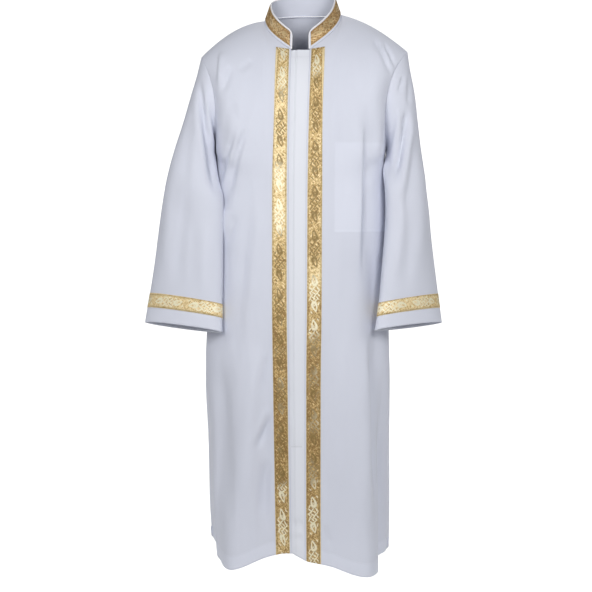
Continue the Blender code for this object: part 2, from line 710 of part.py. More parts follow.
def make_collar(grid, collection):
    """The stand collar, its gold braid and the piping along its edge."""
    make_cloth("collar", grid, COLLAR_WALL, WHITE_CLOTH, collection)
    away = outward(grid)
    braid = (grid + away * SEAM_GAP)[1:-1, 1:-1]
    make_cloth("collar_band", braid, BRAID_WALL, GOLD_BRAID, collection, outwards=True)
    middle = grid - away * COLLAR_WALL / 2
    right = edgeways(middle[:, 0], middle[:, 1], away[:, 0])
    top = edgeways(middle[-1], middle[-2], away[-1])
    left = edgeways(middle[:, -1], middle[:, -2], away[:, -1])
    right_corner = (right[-1] + top[0]) / (1.0 + np.dot(right[-1], top[0]))
    left_corner = (left[-1] + top[-1]) / (1.0 + np.dot(left[-1], top[-1]))
    beside = PIPING_RADIUS + SEAM_GAP
    path = np.vstack([
        (middle[:, 0] + right * beside)[1:-1],
        middle[-1, 0] + right_corner * beside,
        (middle[-1] + top * beside)[1:-1],
        middle[-1, -1] + left_corner * beside,
        (middle[:, -1] + left * beside)[1:-1][::-1],
    ])
    curve = bpy.data.curves.new("collar_piping", "CURVE")
    curve.dimensions = "3D"
    curve.bevel_depth = PIPING_RADIUS
    curve.bevel_resolution = 2
    curve.use_fill_caps = True
    spline = curve.splines.new("POLY")
    spline.points.add(len(path) - 1)
    for point, place in zip(spline.points, path, strict=True):
        point.co = (*place, 1.0)
    finish_piece(bpy.data.objects.new("collar_piping", curve), "collar_piping", PIPING_CLOTH, collection)


def make_placket(fronts, collection):
    """The strip behind the fronts, which shows between their edges."""
    right, left = fronts["right"][:, :3][:, ::-1], fronts["left"][:, :3]
    across = np.linspace(0.0, 1.0, PLACKET_MIDDLE_COLUMNS + 2)[1:-1]
    start, end = right[:, -1:], left[:, :1]
    between = start + (end - start) * across[None, :, None]
    grid = np.concatenate([right, between, left], axis=1)
    grid -= outward(grid) * (CLOTH_WALL + SEAM_GAP)
    grid[-1] += unit(grid[-2] - grid[-1]) * COLLAR_WALL
    make_cloth("placket", grid, CLOTH_WALL, PLACKET_CLOTH, collection)


def sampled(grid, rows, columns):
    """Points of a grid's own faces at rows and columns that may lie between its lines."""
    counts = [np.arange(size) for size in grid.shape[:2]]
    on_rows = np.stack([
        [np.interp(rows, counts[0], grid[:, j, axis]) for j in counts[1]] for axis in range(3)
    ])
    on_both = np.stack([
        [np.interp(columns, counts[1], line[:, i]) for i in range(len(rows))] for line in on_rows
    ])
    return np.moveaxis(on_both, 0, -1)


def lines_between(start, end):
    """A stretch of grid lines: its two ends and the whole lines between them."""
    whole = np.arange(math.ceil(start + TINY), math.floor(end - TINY) + 1)
    return np.concatenate([[start], whole, [end]])


def make_pocket(front, collection):
    """The pocket bag, which hangs behind the wearer's left front."""
    girths = front_girths(LEFT, YOKE_CENTRE_HEIGHT)
    columns = np.interp(POCKET_GIRTHS, girths, np.arange(len(girths)))
    heights = front[:, int(columns.mean()), 2]
    bottom, top = np.interp((POCKET_BOTTOM, POCKET_TOP), heights, np.arange(len(heights)))
    inside = front - outward(front) * (CLOTH_WALL + SEAM_GAP)
    grid = sampled(inside, lines_between(bottom, top), lines_between(*columns))
    make_cloth("pocket_bag", grid, POCKET_WALL, POCKET_CLOTH, collection)


def clear_scene():
    """Remove whatever the scene holds."""
    for thing in list(bpy.data.objects):
        bpy.data.objects.remove(thing, do_unlink=True)


def main():
    """Build the robe."""
    clear_scene()
    collection = bpy.data.collections.new(OBJECT_NAME)
    bpy.context.scene.collection.children.link(collection)
    fronts = {side.name: front_grid(side) for side in (RIGHT, LEFT)}
    sleeves = {side.name: sleeve_grid(side) for side in (RIGHT, LEFT)}
    back = back_grid()
    collar = collar_grid(fronts, back)
    for side in (RIGHT, LEFT):
        front, sleeve = fronts[side.name], sleeves[side.name]
        make_front(side, front, back, sleeve, collar, collection)
        make_sleeve(side, sleeve, front, back, collection)
    make_back(back, fronts, sleeves, collar, collection)
    make_collar(collar, collection)
    make_placket(fronts, collection)
    make_pocket(fronts["left"], collection)


main()
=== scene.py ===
"""Looks of a long white imam robe with gold braid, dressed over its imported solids.

Metres, +Z up, the front faces -Y and the wearer's left is at +X. Each panel is a fine grid of cloth
on the form of its solid, with its folds and creases, and is thickened into a thin shell.
"""

import logging
import math
from collections.abc import Callable, Iterator, Sequence
from dataclasses import dataclass, field, fields
from enum import Enum
from typing import Any

import bpy
import numpy as np
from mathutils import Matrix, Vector


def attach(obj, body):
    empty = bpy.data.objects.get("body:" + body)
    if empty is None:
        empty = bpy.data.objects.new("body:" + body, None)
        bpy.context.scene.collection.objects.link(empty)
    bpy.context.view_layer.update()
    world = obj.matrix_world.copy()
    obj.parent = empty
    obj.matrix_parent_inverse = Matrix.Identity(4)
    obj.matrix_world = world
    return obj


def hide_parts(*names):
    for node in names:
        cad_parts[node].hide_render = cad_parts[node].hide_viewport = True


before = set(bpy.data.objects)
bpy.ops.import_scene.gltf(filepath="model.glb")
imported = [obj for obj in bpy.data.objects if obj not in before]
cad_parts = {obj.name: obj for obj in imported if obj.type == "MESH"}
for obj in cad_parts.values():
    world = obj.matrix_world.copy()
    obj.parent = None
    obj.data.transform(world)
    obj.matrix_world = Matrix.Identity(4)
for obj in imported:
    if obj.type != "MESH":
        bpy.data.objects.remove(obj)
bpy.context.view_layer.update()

LOG = logging.getLogger("imam_robe")
BODY = "root"
TINY = 1e-9
PER_METRE = 1000.0
TURN = 2 * math.pi

# Walls of the shells and the gaps between layers
CLOTH_WALL = 0.0007
COLLAR_WALL = 0.0022
BRAID_WALL = 0.0006
LAYER_GAP = 0.0002
SEAM_GAP = 0.0003

# Gold braid
BRAID_WIDTH = 0.0365
BRAID_INSET = 0.0045
CUFF_BRAID_WIDTH = 0.036
CUFF_MARGIN = 0.0355
BAND_TOP_DROP = 0.002
BAND_TOP_RISE = 0.005
BAND_TOP_SLACK = 0.002
BAND_TOP_ROWS = 4

# Stand collar
COLLAR_HEIGHT = 0.045
COLLAR_LOW_MARGIN = 0.0065
COLLAR_TOP_MARGIN = 0.002
COLLAR_LEAN_FRONT = 0.06
COLLAR_LEAN_SIDE = 0.36
PIPING_RADIUS = 0.0014
PIPING_SEAT = 0.7
TWILL_PITCH = 0.0012

# Neck seam
NECK_HALF_WIDTH = 0.0975
NECK_FRONT_DEPTH = 0.084
NECK_BACK_DEPTH = 0.078
NECK_FRONT_HEIGHT = -0.089
NAPE_HEIGHT = 0.012

# Panels
SIDE_GIRTH = 0.32
YOKE_CENTRE_HEIGHT = -0.43
UNDERARM_HEIGHT = -0.335
SHOULDER_START = 2.0
SHOULDER_END = 0.75
SKIRT_ROWS = 17
YOKE_ROWS = 11
FRONT_NECK_COLUMNS = 2
BACK_NECK_COLUMNS = 6
SHOULDER_COLUMNS = 7
FINE_STEPS = 120

# Grids: how rows crowd towards hem and top, their spans in the spline, and the columns that a seam stills
SKIRT_SPACING = 0.25
YOKE_SPACING = 1.2
SKIRT_SPAN = 0.92
YOKE_SPAN = 0.42
SEAM_STILL_COLUMNS = 3.0

# Sleeves
ARMHOLE_REACH = 0.42
SLEEVE_LENGTH = 0.65
SLEEVE_CLEARANCE = 0.0035
SLEEVE_LOFT = 0.002
SLEEVE_REST = 0.003
SLEEVE_FORWARD = 0.014
CLEARANCE_REACH = 0.16
CLEARANCE_UNDER_ARM = 0.3
BELOW_ARM = 0.24
BELOW_ARM_FADE = 0.20
BAND_RINGS = 7
MARGIN_RINGS = 8
CUFF_HEM_ROWS = (-2, -5, -8)

# Sewing
HEM_DEPTH = 0.036
HEM_FOLD = 0.0016
ALLOWANCE = 0.005
SEAM_PULL = 0.0005
SEAM_DIP = 0.0006
TURNED_SHARE = 0.3
HEM_STITCHES = 0.0335
TACK_HEIGHT = -1.075

# Creases: how deep they are made, and how far from a seam the cloth is held
CREASE_GAIN = 2.2
CREASE_STEPS = 17
CREASE_REACH = 3.0
CREASE_RISE = 0.3
CREASE_FALL = 0.35
FACING_START = 0.05
FACING_FADE = 0.4
HELD_MARGIN = 0.016
EDGE_EASE = 2.0
BRAID_HOLD = 0.25
BRAID_HOLD_START = 0.036
BRAID_HOLD_FADE = 0.030


class Wearer(Enum):
    """A side of the robe, as its wearer has it."""

    RIGHT = "right"
    LEFT = "left"


class Edge(Enum):
    """An edge of a grid of cloth."""

    FIRST = "first column"
    LAST = "last column"
    BOTTOM = "first row"
    TOP = "last row"


class Held(Enum):
    """How a sheet is held."""

    HUNG = "hung"


@dataclass(frozen=True)
class BodySection:
    """A section of the hollow body of the robe."""

    height: float
    x_right: float
    x_left: float
    front: float
    back: float


BODY_SECTIONS = (
    BodySection(-0.089, -0.200, 0.200, 0.080, 0.090),
    BodySection(-0.130, -0.205, 0.203, 0.104, 0.105),
    BodySection(-0.200, -0.212, 0.206, 0.126, 0.120),
    BodySection(-0.280, -0.217, 0.209, 0.139, 0.127),
    BodySection(-0.360, -0.222, 0.212, 0.145, 0.128),
    BodySection(-0.480, -0.229, 0.214, 0.149, 0.126),
    BodySection(-0.620, -0.238, 0.217, 0.153, 0.128),
    BodySection(-0.780, -0.246, 0.221, 0.157, 0.136),
    BodySection(-0.930, -0.252, 0.224, 0.159, 0.144),
    BodySection(-1.080, -0.246, 0.221, 0.160, 0.151),
    BodySection(-1.240, -0.243, 0.219, 0.160, 0.157),
    BodySection(-1.400, -0.233, 0.214, 0.160, 0.162),
)
SQUARENESS = 2.3


@dataclass(frozen=True)
class FrontEdge:
    """Where the edges of the two fronts lie across the body at a height."""

    height: float
    x_right: float
    x_left: float


FRONT_EDGES = (
    FrontEdge(-0.089, -0.0300, 0.0165),
    FrontEdge(-0.250, -0.0340, 0.0100),
    FrontEdge(-0.460, -0.0360, 0.0060),
    FrontEdge(-0.710, -0.0360, 0.0050),
    FrontEdge(-0.930, -0.0335, 0.0030),
    FrontEdge(-1.200, -0.0305, 0.0030),
    FrontEdge(-1.400, -0.0275, 0.0040),
)


@dataclass(frozen=True)
class BackLine:
    """How far behind the origin the centre back lies at a height."""

    height: float
    depth: float


BACK_LINE = (
    BackLine(YOKE_CENTRE_HEIGHT, 0.127),
    BackLine(-0.280, 0.131),
    BackLine(-0.140, 0.122),
    BackLine(-0.040, 0.099),
    BackLine(NAPE_HEIGHT, NECK_BACK_DEPTH),
)


@dataclass(frozen=True)
class HemPoint:
    """The height of the hem at a girth."""

    girth: float
    height: float


HEM_POINTS = (
    HemPoint(-0.640, -1.362),
    HemPoint(-0.500, -1.372),
    HemPoint(-0.330, -1.338),
    HemPoint(-0.260, -1.366),
    HemPoint(-0.175, -1.387),
    HemPoint(-0.085, -1.356),
    HemPoint(-0.018, -1.344),
    HemPoint(0.018, -1.362),
    HemPoint(0.070, -1.374),
    HemPoint(0.175, -1.406),
    HemPoint(0.235, -1.404),
    HemPoint(0.320, -1.368),
    HemPoint(0.480, -1.372),
    HemPoint(0.640, -1.362),
)


@dataclass(frozen=True)
class Fold:
    """A large fold of the solids, from one girth and height to another, outwards above 0."""

    name: str
    girth_top: float
    top: float
    girth_end: float
    end: float
    half_width: float
    at_top: float
    at_end: float


BODY_FOLDS = (
    Fold("front fold of the right skirt", -0.140, -0.700, -0.175, -1.450, 0.070, 0.003, 0.030),
    Fold("trough beside the right braid", -0.085, -0.900, -0.065, -1.450, 0.060, 0.000, -0.016),
    Fold("side trough of the right skirt", -0.290, -0.900, -0.290, -1.450, 0.050, -0.003, -0.014),
    Fold("front fold of the left skirt", 0.130, -0.700, 0.170, -1.450, 0.080, 0.003, 0.030),
    Fold("side trough of the left skirt", 0.245, -0.850, 0.268, -1.450, 0.045, -0.004, -0.036),
    Fold("side fold of the left skirt", 0.350, -0.900, 0.350, -1.450, 0.050, 0.002, 0.014),
    Fold("back fold, wearer's right", -0.460, -0.550, -0.470, -1.450, 0.065, 0.004, 0.024),
    Fold("back trough, wearer's right", -0.390, -0.800, -0.385, -1.450, 0.045, -0.003, -0.014),
    Fold("back trough near the centre", -0.560, -0.500, -0.570, -1.450, 0.055, -0.004, -0.020),
    Fold("back fold near the centre", 0.600, -0.650, 0.605, -1.450, 0.060, 0.002, 0.014),
    Fold("back trough, wearer's left", 0.525, -0.450, 0.530, -1.450, 0.050, -0.004, -0.020),
    Fold("back fold, wearer's left", 0.440, -0.600, 0.450, -1.450, 0.055, 0.003, 0.022),
    Fold("drag fold of the right chest", -0.165, -0.150, -0.205, -0.290, 0.045, 0.003, 0.005),
    Fold("long drag fold of the right front", -0.120, -0.300, -0.205, -0.520, 0.045, 0.002, 0.005),
    Fold("drag trough of the left chest", 0.205, -0.110, 0.215, -0.300, 0.045, -0.003, -0.006),
    Fold("side trough of the left front", 0.235, -0.620, 0.195, -1.000, 0.045, -0.003, -0.007),
)


@dataclass(frozen=True)
class Side:
    """The shoulder and armhole of a side of the robe."""

    wearer: Wearer
    sign: int
    neck: tuple[float, float, float]
    tip: tuple[float, float, float]
    front: tuple[float, float, float]
    under: tuple[float, float, float]
    back: tuple[float, float, float]
    shoulder_rise: float


RIGHT = Side(
    wearer=Wearer.RIGHT,
    sign=-1,
    neck=(-NECK_HALF_WIDTH, 0.000, -0.009),
    tip=(-0.2565, 0.000, -0.100),
    front=(-0.2215, -0.085, -0.205),
    under=(-0.2210, 0.000, UNDERARM_HEIGHT),
    back=(-0.2080, 0.085, -0.205),
    shoulder_rise=0.019,
)
LEFT = Side(
    wearer=Wearer.LEFT,
    sign=1,
    neck=(NECK_HALF_WIDTH, 0.000, 0.007),
    tip=(0.2660, 0.000, -0.088),
    front=(0.2125, -0.085, -0.190),
    under=(0.2112, 0.000, UNDERARM_HEIGHT),
    back=(0.2050, 0.085, -0.195),
    shoulder_rise=0.014,
)
SIDES = (RIGHT, LEFT)


@dataclass(frozen=True)
class SleeveSection:
    """A ring of a sleeve: its centre, half sizes and angles in degrees."""

    along: float
    x: float
    y: float
    z: float
    half_width: float
    half_depth: float
    turn: float
    slope: float
    pitch: float


SLEEVE_SECTIONS = {
    Wearer.RIGHT: (
        SleeveSection(0.00, -0.240, 0.000, -0.205, 0.120, 0.085, 0, 78, 0),
        SleeveSection(0.18, -0.255, -0.004, -0.288, 0.072, 0.074, 10, 62, 2),
        SleeveSection(0.29, -0.259, -0.030, -0.352, 0.076, 0.063, 24, 46, 4),
        SleeveSection(0.40, -0.268, -0.052, -0.420, 0.089, 0.052, 36, 28, 6),
        SleeveSection(0.60, -0.281, -0.057, -0.530, 0.098, 0.049, 36, 14, 10),
        SleeveSection(0.80, -0.291, -0.064, -0.655, 0.106, 0.045, 34, 6, 13),
        SleeveSection(1.00, -0.303, -0.071, -0.784, 0.118, 0.041, 32, 3, 15),
    ),
    Wearer.LEFT: (
        SleeveSection(0.00, 0.240, 0.000, -0.205, 0.120, 0.085, 0, 78, 0),
        SleeveSection(0.18, 0.248, -0.006, -0.288, 0.074, 0.072, 30, 58, 2),
        SleeveSection(0.29, 0.254, -0.024, -0.352, 0.078, 0.050, 60, 30, 4),
        SleeveSection(0.40, 0.261, -0.042, -0.420, 0.084, 0.042, 66, 14, 6),
        SleeveSection(0.60, 0.268, -0.052, -0.530, 0.090, 0.045, 61, 9, 10),
        SleeveSection(0.80, 0.268, -0.061, -0.655, 0.100, 0.044, 50, 4, 12),
        SleeveSection(1.00, 0.268, -0.070, -0.782, 0.114, 0.042, 41, 1, 14),
    ),
}


@dataclass(frozen=True)
class Crease:
    """A soft ridge, or below 0 a trough, along a line across and down the robe, in millimetres.

    The line goes from (x0, z0) through (x1, z1) to (x2, z2). low_side and high_side are how far it
    reaches towards -X and +X.
    """

    name: str
    x0: float
    z0: float
    x1: float
    z1: float
    x2: float
    z2: float
    low_side: float
    high_side: float
    height: float

    def line(self) -> np.ndarray:
        """Draw its line.

        Returns:
            Points across and up, in metres.
        """
        places = [self.x0, self.z0, self.x1, self.z1, self.x2, self.z2]
        start, middle, end = np.reshape(places, (3, 2)) / PER_METRE
        bend = 2 * middle - (start + end) / 2
        t = np.linspace(0.0, 1.0, CREASE_STEPS)[:, None]
        return start * (1 - t) ** 2 + bend * (2 * t * (1 - t)) + end * t**2


FRONT_CREASES = {
    Wearer.RIGHT: (
        Crease("ridge below the shoulder", -203, -88, -205, -136, -208, -195, 6.2, 12.3, 2.5),
        Crease("fold beside the ridge", -180, -127, -190, -165, -203, -202, 7.4, 9.9, -2.5),
        Crease("short fold at the collarbone", -124, -114, -143, -129, -163, -148, 7.4, 9.9, -1.5),
        Crease("trough above the drag folds", -180, -214, -168, -248, -156, -292, 12.3, 12.3, -1.5),
        Crease("first drag fold", -148, -273, -183, -366, -208, -474, 9.9, 9.9, 2.6),
        Crease("trough below the first drag fold", -163, -282, -190, -361, -210, -429, 7.4, 8.6, -2.6),
        Crease("second drag fold", -121, -258, -148, -366, -173, -483, 12.3, 14.8, 2.2),
        Crease("trough between the drag folds", -136, -273, -166, -370, -190, -478, 8.6, 9.9, -1.8),
        Crease("short fold at the underarm", -193, -474, -198, -518, -200, -570, 7.4, 9.9, 2),
        Crease("trough at the underarm", -166, -498, -178, -533, -188, -577, 9.9, 9.9, -1.8),
        Crease("long ridge of the front", -99, -474, -116, -617, -131, -822, 19.8, 17.3, 2.6),
        Crease("long trough of the front", -148, -557, -161, -711, -178, -920, 19.8, 19.8, -2.6),
        Crease("ridge of the skirt", -114, -805, -131, -1020, -143, -1287, 24.7, 19.8, 5),
        Crease("trough at the skirt's side", -213, -835, -200, -1060, -190, -1287, 27, 24, -5.2),
        Crease("trough beside the braid", -87, -840, -94, -890, -101, -955, 7.4, 9.9, -2.2),
        Crease("diagonal crease of the skirt", -72, -985, -94, -1035, -119, -1085, 6.2, 9.9, -3.6),
        Crease("edge of the diagonal crease", -79, -965, -106, -1020, -134, -1080, 9.9, 7.4, 1.6),
        Crease("lower trough beside the braid", -84, -1100, -97, -1181, -101, -1287, 14.8, 17.3, -3.8),
    ),
    Wearer.LEFT: (
        Crease("first shoulder crease", 173, -54, 202, -102, 222, -161, 9.9, 6.2, -3.2),
        Crease("ridge between the shoulder creases", 187, -61, 212, -110, 227, -151, 6.2, 6.2, 1.6),
        Crease("second shoulder crease", 200, -66, 217, -102, 232, -141, 6.2, 5.4, -2.6),
        Crease("soft trough below the collar", 101, -117, 111, -180, 118, -258, 14.8, 14.8, -1.2),
        Crease("soft ridge beside the braid", 69, -146, 74, -268, 76, -390, 14.8, 14.8, 1.2),
        Crease("edge over the pocket", 145, -248, 141, -439, 136, -676, 32.1, 7.4, 3.6),
        Crease("trough beside the pocket's edge", 158, -268, 155, -464, 150, -691, 8.6, 22.2, -3.4),
        Crease("drag crease at the armhole", 229, -273, 215, -331, 210, -395, 6.2, 7.4, -4),
        Crease("ridge inside the armhole", 200, -209, 192, -292, 185, -395, 9.9, 12.3, 1.6),
        Crease("long trough of the front", 170, -542, 175, -686, 173, -835, 17.3, 14.8, -2.4),
        Crease("ridge of the skirt", 106, -765, 91, -1020, 79, -1261, 27.2, 29.6, 3.4),
        Crease("trough between braid and ridge", 47, -785, 44, -1010, 42, -1236, 12.3, 17.3, -1.6),
        Crease("edge of the side fold", 150, -760, 158, -1035, 168, -1312, 29.6, 11, 5.2),
        Crease("trough of the side fold", 170, -785, 178, -1035, 187, -1287, 11, 19.8, -5.8),
        Crease("small crease at the hem", 47, -1271, 57, -1297, 69, -1332, 7.4, 9.9, -2.2),
    ),
}
BACK_CREASES = (
    Crease("shoulder blade trough, right", -90, -180, -150, -270, -195, -370, 12, 14, -3),
    Crease("shoulder blade ridge, right", -110, -160, -165, -245, -203, -335, 11, 9, 2.4),
    Crease("lower drag fold, right", -60, -240, -125, -345, -180, -480, 13, 17, 2.4),
    Crease("lower drag trough, right", -48, -300, -105, -395, -155, -520, 12, 14, -2),
    Crease("shoulder blade trough, left", 72, -165, 138, -250, 188, -345, 14, 12, -3.2),
    Crease("shoulder blade ridge, left", 100, -150, 158, -225, 197, -310, 9, 11, 2.2),
    Crease("lower drag fold, left", 45, -220, 118, -318, 176, -440, 18, 13, 2.2),
    Crease("short drag trough, left", 85, -330, 130, -400, 168, -500, 14, 12, -1.8),
    Crease("soft trough below the nape", 4, -70, 10, -240, 2, -450, 30, 36, -2.2),
    Crease("waist fold, right", -80, -520, -86, -680, -100, -900, 20, 22, 2.8),
    Crease("waist trough, right", -128, -560, -136, -760, -150, -1000, 18, 20, -2.6),
    Crease("waist fold, left", 94, -500, 100, -650, 104, -830, 19, 24, 2.4),
    Crease("waist trough, left", 50, -540, 46, -740, 52, -960, 20, 18, -2.4),
    Crease("skirt ridge, right", -120, -860, -130, -1060, -138, -1320, 20, 24, 3.4),
    Crease("skirt trough, centre", -30, -820, -40, -1050, -44, -1330, 20, 20, -3.2),
    Crease("skirt ridge, centre", 22, -780, 26, -1020, 34, -1320, 18, 22, 3),
    Crease("skirt trough, left", 150, -760, 160, -1020, 168, -1330, 20, 18, -3.4),
    Crease("short diagonal crease", 64, -985, 88, -1040, 118, -1095, 7, 10, -2.6),
)
PLACKET_CREASES = (
    Crease("upper trough at the hem", -34, -1262, -14, -1272, 6, -1258, 12, 15, -2),
    Crease("lower trough at the hem", -26, -1318, -12, -1306, 4, -1310, 9, 8, -1.4),
    Crease("soft trough at the tack", -30, -1078, -14, -1076, 2, -1081, 9, 11, -0.5),
)
SLEEVE_CREASES = {
    Wearer.RIGHT: (
        Crease("long crease", -261, -146, -241, -309, -216, -464, 6, 5.5, -4.5),
        Crease("ridge inside the long crease", -246, -161, -231, -294, -211, -439, 5.5, 6.3, 2.2),
        Crease("ridge outside the long crease", -271, -161, -256, -304, -236, -454, 12.5, 6.5, 2.4),
        Crease("underarm crease", -226, -245, -218, -324, -211, -409, 4.5, 4.5, -2.6),
        Crease("upper trough", -286, -245, -291, -339, -298, -454, 15, 15, -1.8),
        Crease("middle trough", -293, -419, -306, -564, -313, -714, 20.1, 20.1, -2.4),
        Crease("outer ridge", -326, -339, -338, -501, -351, -694, 17.5, 17.5, 2.2),
        Crease("inner ridge", -238, -503, -243, -619, -246, -760, 17.5, 15, 2.2),
        Crease("inner trough", -271, -478, -276, -589, -281, -689, 15, 15, -1.2),
    ),
    Wearer.LEFT: (
        Crease("long crease", 263, -225, 248, -319, 221, -429, 6, 6.5, -5.5),
        Crease("ridge inside the long crease", 241, -225, 233, -304, 218, -389, 6.5, 7, 2.4),
        Crease("ridge outside the long crease", 276, -245, 263, -339, 238, -464, 7.5, 12.5, 2.6),
        Crease("upper crease", 268, -151, 266, -190, 263, -240, 5.5, 6, -2.4),
        Crease("short crease at the armhole", 253, -151, 246, -175, 236, -200, 5, 5, -2.2),
        Crease("outer trough", 286, -274, 271, -389, 248, -559, 10, 15, -2.4),
        Crease("long ridge", 306, -314, 296, -493, 286, -689, 17.5, 17.5, 2.4),
        Crease("inner ridge", 253, -454, 238, -564, 221, -704, 10, 12.5, 2),
        Crease("lower trough", 271, -498, 263, -589, 253, -704, 15, 15, -1.6),
    ),
}
SLEEVE_BACK_CREASES = {
    Wearer.RIGHT: (
        Crease("elbow crease behind", -232, -250, -250, -350, -268, -440, 10, 8, -3),
        Crease("long ridge behind", -262, -220, -276, -420, -292, -640, 16, 18, 2.8),
        Crease("long trough behind", -300, -330, -314, -500, -330, -700, 16, 16, -2.6),
    ),
    Wearer.LEFT: (
        Crease("elbow crease behind", 230, -240, 246, -330, 256, -420, 8, 10, -3.2),
        Crease("long ridge behind", 262, -230, 272, -410, 280, -620, 18, 15, 2.6),
        Crease("long trough behind", 292, -300, 304, -480, 312, -690, 15, 17, -2.8),
    ),
}


def smooth_step(value: Any) -> Any:
    """Ease from 0 to 1.

    Args:
        value: One number or an array.

    Returns:
        0 below 0, 1 above 1 and an even S between them.
    """
    t = np.clip(value, 0.0, 1.0)
    return t * t * (3.0 - 2.0 * t)


class SmoothLine:
    """A smooth line through a table's values, level past its ends, with no overshoot."""

    def __init__(self, rows: Sequence[Any], key: str, name: str) -> None:
        """Take the line through a named column.

        Args:
            rows: The rows of the table.
            key: The column that the line is read by.
            name: The column that the line goes through.
        """
        table = sorted((getattr(row, key), getattr(row, name)) for row in rows)
        self.x = np.array([row[0] for row in table], float)
        self.y = np.array([row[1] for row in table], float)
        self.steps = np.diff(self.x)
        slopes = np.diff(self.y) / self.steps
        low, high = slopes[:-1], slopes[1:]
        same_way = low * high > 0
        middle = np.where(same_way, 2.0 * low * high / np.where(same_way, low + high, 1.0), 0.0)
        self.tangents = np.concatenate([[slopes[0]], middle, [slopes[-1]]])

    def __call__(self, at: Any) -> Any:
        """Read the line.

        Args:
            at: One number or an array.

        Returns:
            The line's values there.
        """
        at = np.clip(at, self.x[0], self.x[-1])
        i = np.clip(np.searchsorted(self.x, at) - 1, 0, len(self.steps) - 1)
        t = (at - self.x[i]) / self.steps[i]
        rise = self.tangents[i] * t * (1 - t) ** 2 - self.tangents[i + 1] * t * t * (1 - t)
        level = self.y[i] * (1 + 2 * t) * (1 - t) ** 2 + self.y[i + 1] * t * t * (3 - 2 * t)
        return level + self.steps[i] * rise


SECTION_LINES = {
    name: SmoothLine(BODY_SECTIONS, "height", name) for name in ("x_right", "x_left", "front", "back")
}
EDGE_LINES = {
    Wearer.RIGHT: SmoothLine(FRONT_EDGES, "height", "x_right"),
    Wearer.LEFT: SmoothLine(FRONT_EDGES, "height", "x_left"),
}
HEM_LINE = SmoothLine(HEM_POINTS, "girth", "height")
CENTRE_BACK_LINE = SmoothLine(BACK_LINE, "height", "depth")


def unit(vectors: np.ndarray) -> np.ndarray:
    """Bring vectors to a length of one."""
    return vectors / np.maximum(np.linalg.norm(vectors, axis=-1, keepdims=True), TINY)


def arc_lengths(line: np.ndarray) -> np.ndarray:
    """Measure the distance of each of a line's points from its start."""
    steps = np.linalg.norm(np.diff(line, axis=0), axis=1)
    return np.concatenate([[0.0], np.cumsum(steps)])


def spread_on(line: np.ndarray, distances: Any) -> np.ndarray:
    """Find the points on a line at distances from its start."""
    along = arc_lengths(line)
    return np.stack([np.interp(distances, along, line[:, axis]) for axis in range(3)], axis=-1)


def quarter_line(side: Side, back: bool, height: float) -> np.ndarray:
    """Draw a quarter of the body's section.

    Args:
        side: The side of the robe.
        back: Whether it is a quarter of the back.
        height: The section's height.

    Returns:
        Points from the centre front or centre back to the side seam.
    """
    x_left, x_right = SECTION_LINES["x_left"](height), SECTION_LINES["x_right"](height)
    turns = np.linspace(0.0, math.pi / 2, FINE_STEPS)
    power = 2.0 / SQUARENESS
    depth = SECTION_LINES["back"](height) if back else -SECTION_LINES["front"](height)
    x = (x_left + x_right) / 2 + side.sign * (x_left - x_right) / 2 * np.sin(turns) ** power
    y = depth * np.maximum(np.cos(turns), 0.0) ** power
    return np.stack([x, y, np.full_like(x, height)], axis=1)


def body_point(girth: float, height: float) -> np.ndarray:
    """Find a point of the body without its folds.

    Args:
        girth: How far round the body it lies, 0 at the centre front and below 0 on the right.
        height: Its height.

    Returns:
        The point.
    """
    side = LEFT if girth > 0 else RIGHT
    back = abs(girth) > SIDE_GIRTH
    line = quarter_line(side, back, height)
    share = (2.0 - abs(girth) / SIDE_GIRTH) if back else abs(girth) / SIDE_GIRTH
    return spread_on(line, share * arc_lengths(line)[-1])


def front_girths(side: Side, height: float) -> np.ndarray:
    """Give the girths of a front's columns, with two stretches under its braid.

    Args:
        side: The side of the robe.
        height: The height that they are wanted at.

    Returns:
        The girths, from the front's edge to the side seam.
    """
    line = quarter_line(side, False, height)
    length = arc_lengths(line)[-1]
    start = abs(EDGE_LINES[side.wearer](height) - line[0][0])
    inset = start + BRAID_INSET
    braid = [start, inset, inset + BRAID_WIDTH / 2, inset + BRAID_WIDTH]
    rest = np.linspace(braid[-1], length, FRONT_NECK_COLUMNS + SHOULDER_COLUMNS + 1)[1:]
    return side.sign * np.concatenate([braid, rest]) / length * SIDE_GIRTH


def back_girths() -> np.ndarray:
    """Give the girths of the back's columns.

    Returns:
        The girths, from the wearer's right side seam to the left.
    """
    columns = BACK_NECK_COLUMNS + SHOULDER_COLUMNS
    right = -np.linspace(SIDE_GIRTH, 2 * SIDE_GIRTH, columns + 1)
    return np.concatenate([right, -right[:-1][::-1]])


def yoke_height(girth: float) -> float:
    """Give the height of the row where the skirt ends, which rises towards the side seams."""
    share = 1.0 - abs(abs(girth) / SIDE_GIRTH - 1.0)
    return YOKE_CENTRE_HEIGHT + (UNDERARM_HEIGHT - YOKE_CENTRE_HEIGHT) * share**2


def fold_height(girths: np.ndarray, heights: np.ndarray) -> np.ndarray:
    """Add up the large folds.

    Args:
        girths: The girth of each point.
        heights: The height of each point.

    Returns:
        How far the folds push each point outwards.
    """
    total = np.zeros(np.broadcast(girths, heights).shape)
    for fold in BODY_FOLDS:
        run = (fold.girth_end - fold.girth_top, fold.end - fold.top)
        across, down = girths - fold.girth_top, heights - fold.top
        t = np.clip((across * run[0] + down * run[1]) / (run[0] ** 2 + run[1] ** 2), 0.0, 1.0)
        away = np.hypot(across - run[0] * t, down - run[1] * t) / fold.half_width
        total += (fold.at_top + (fold.at_end - fold.at_top) * t) * smooth_step(1.0 - away)
    return total


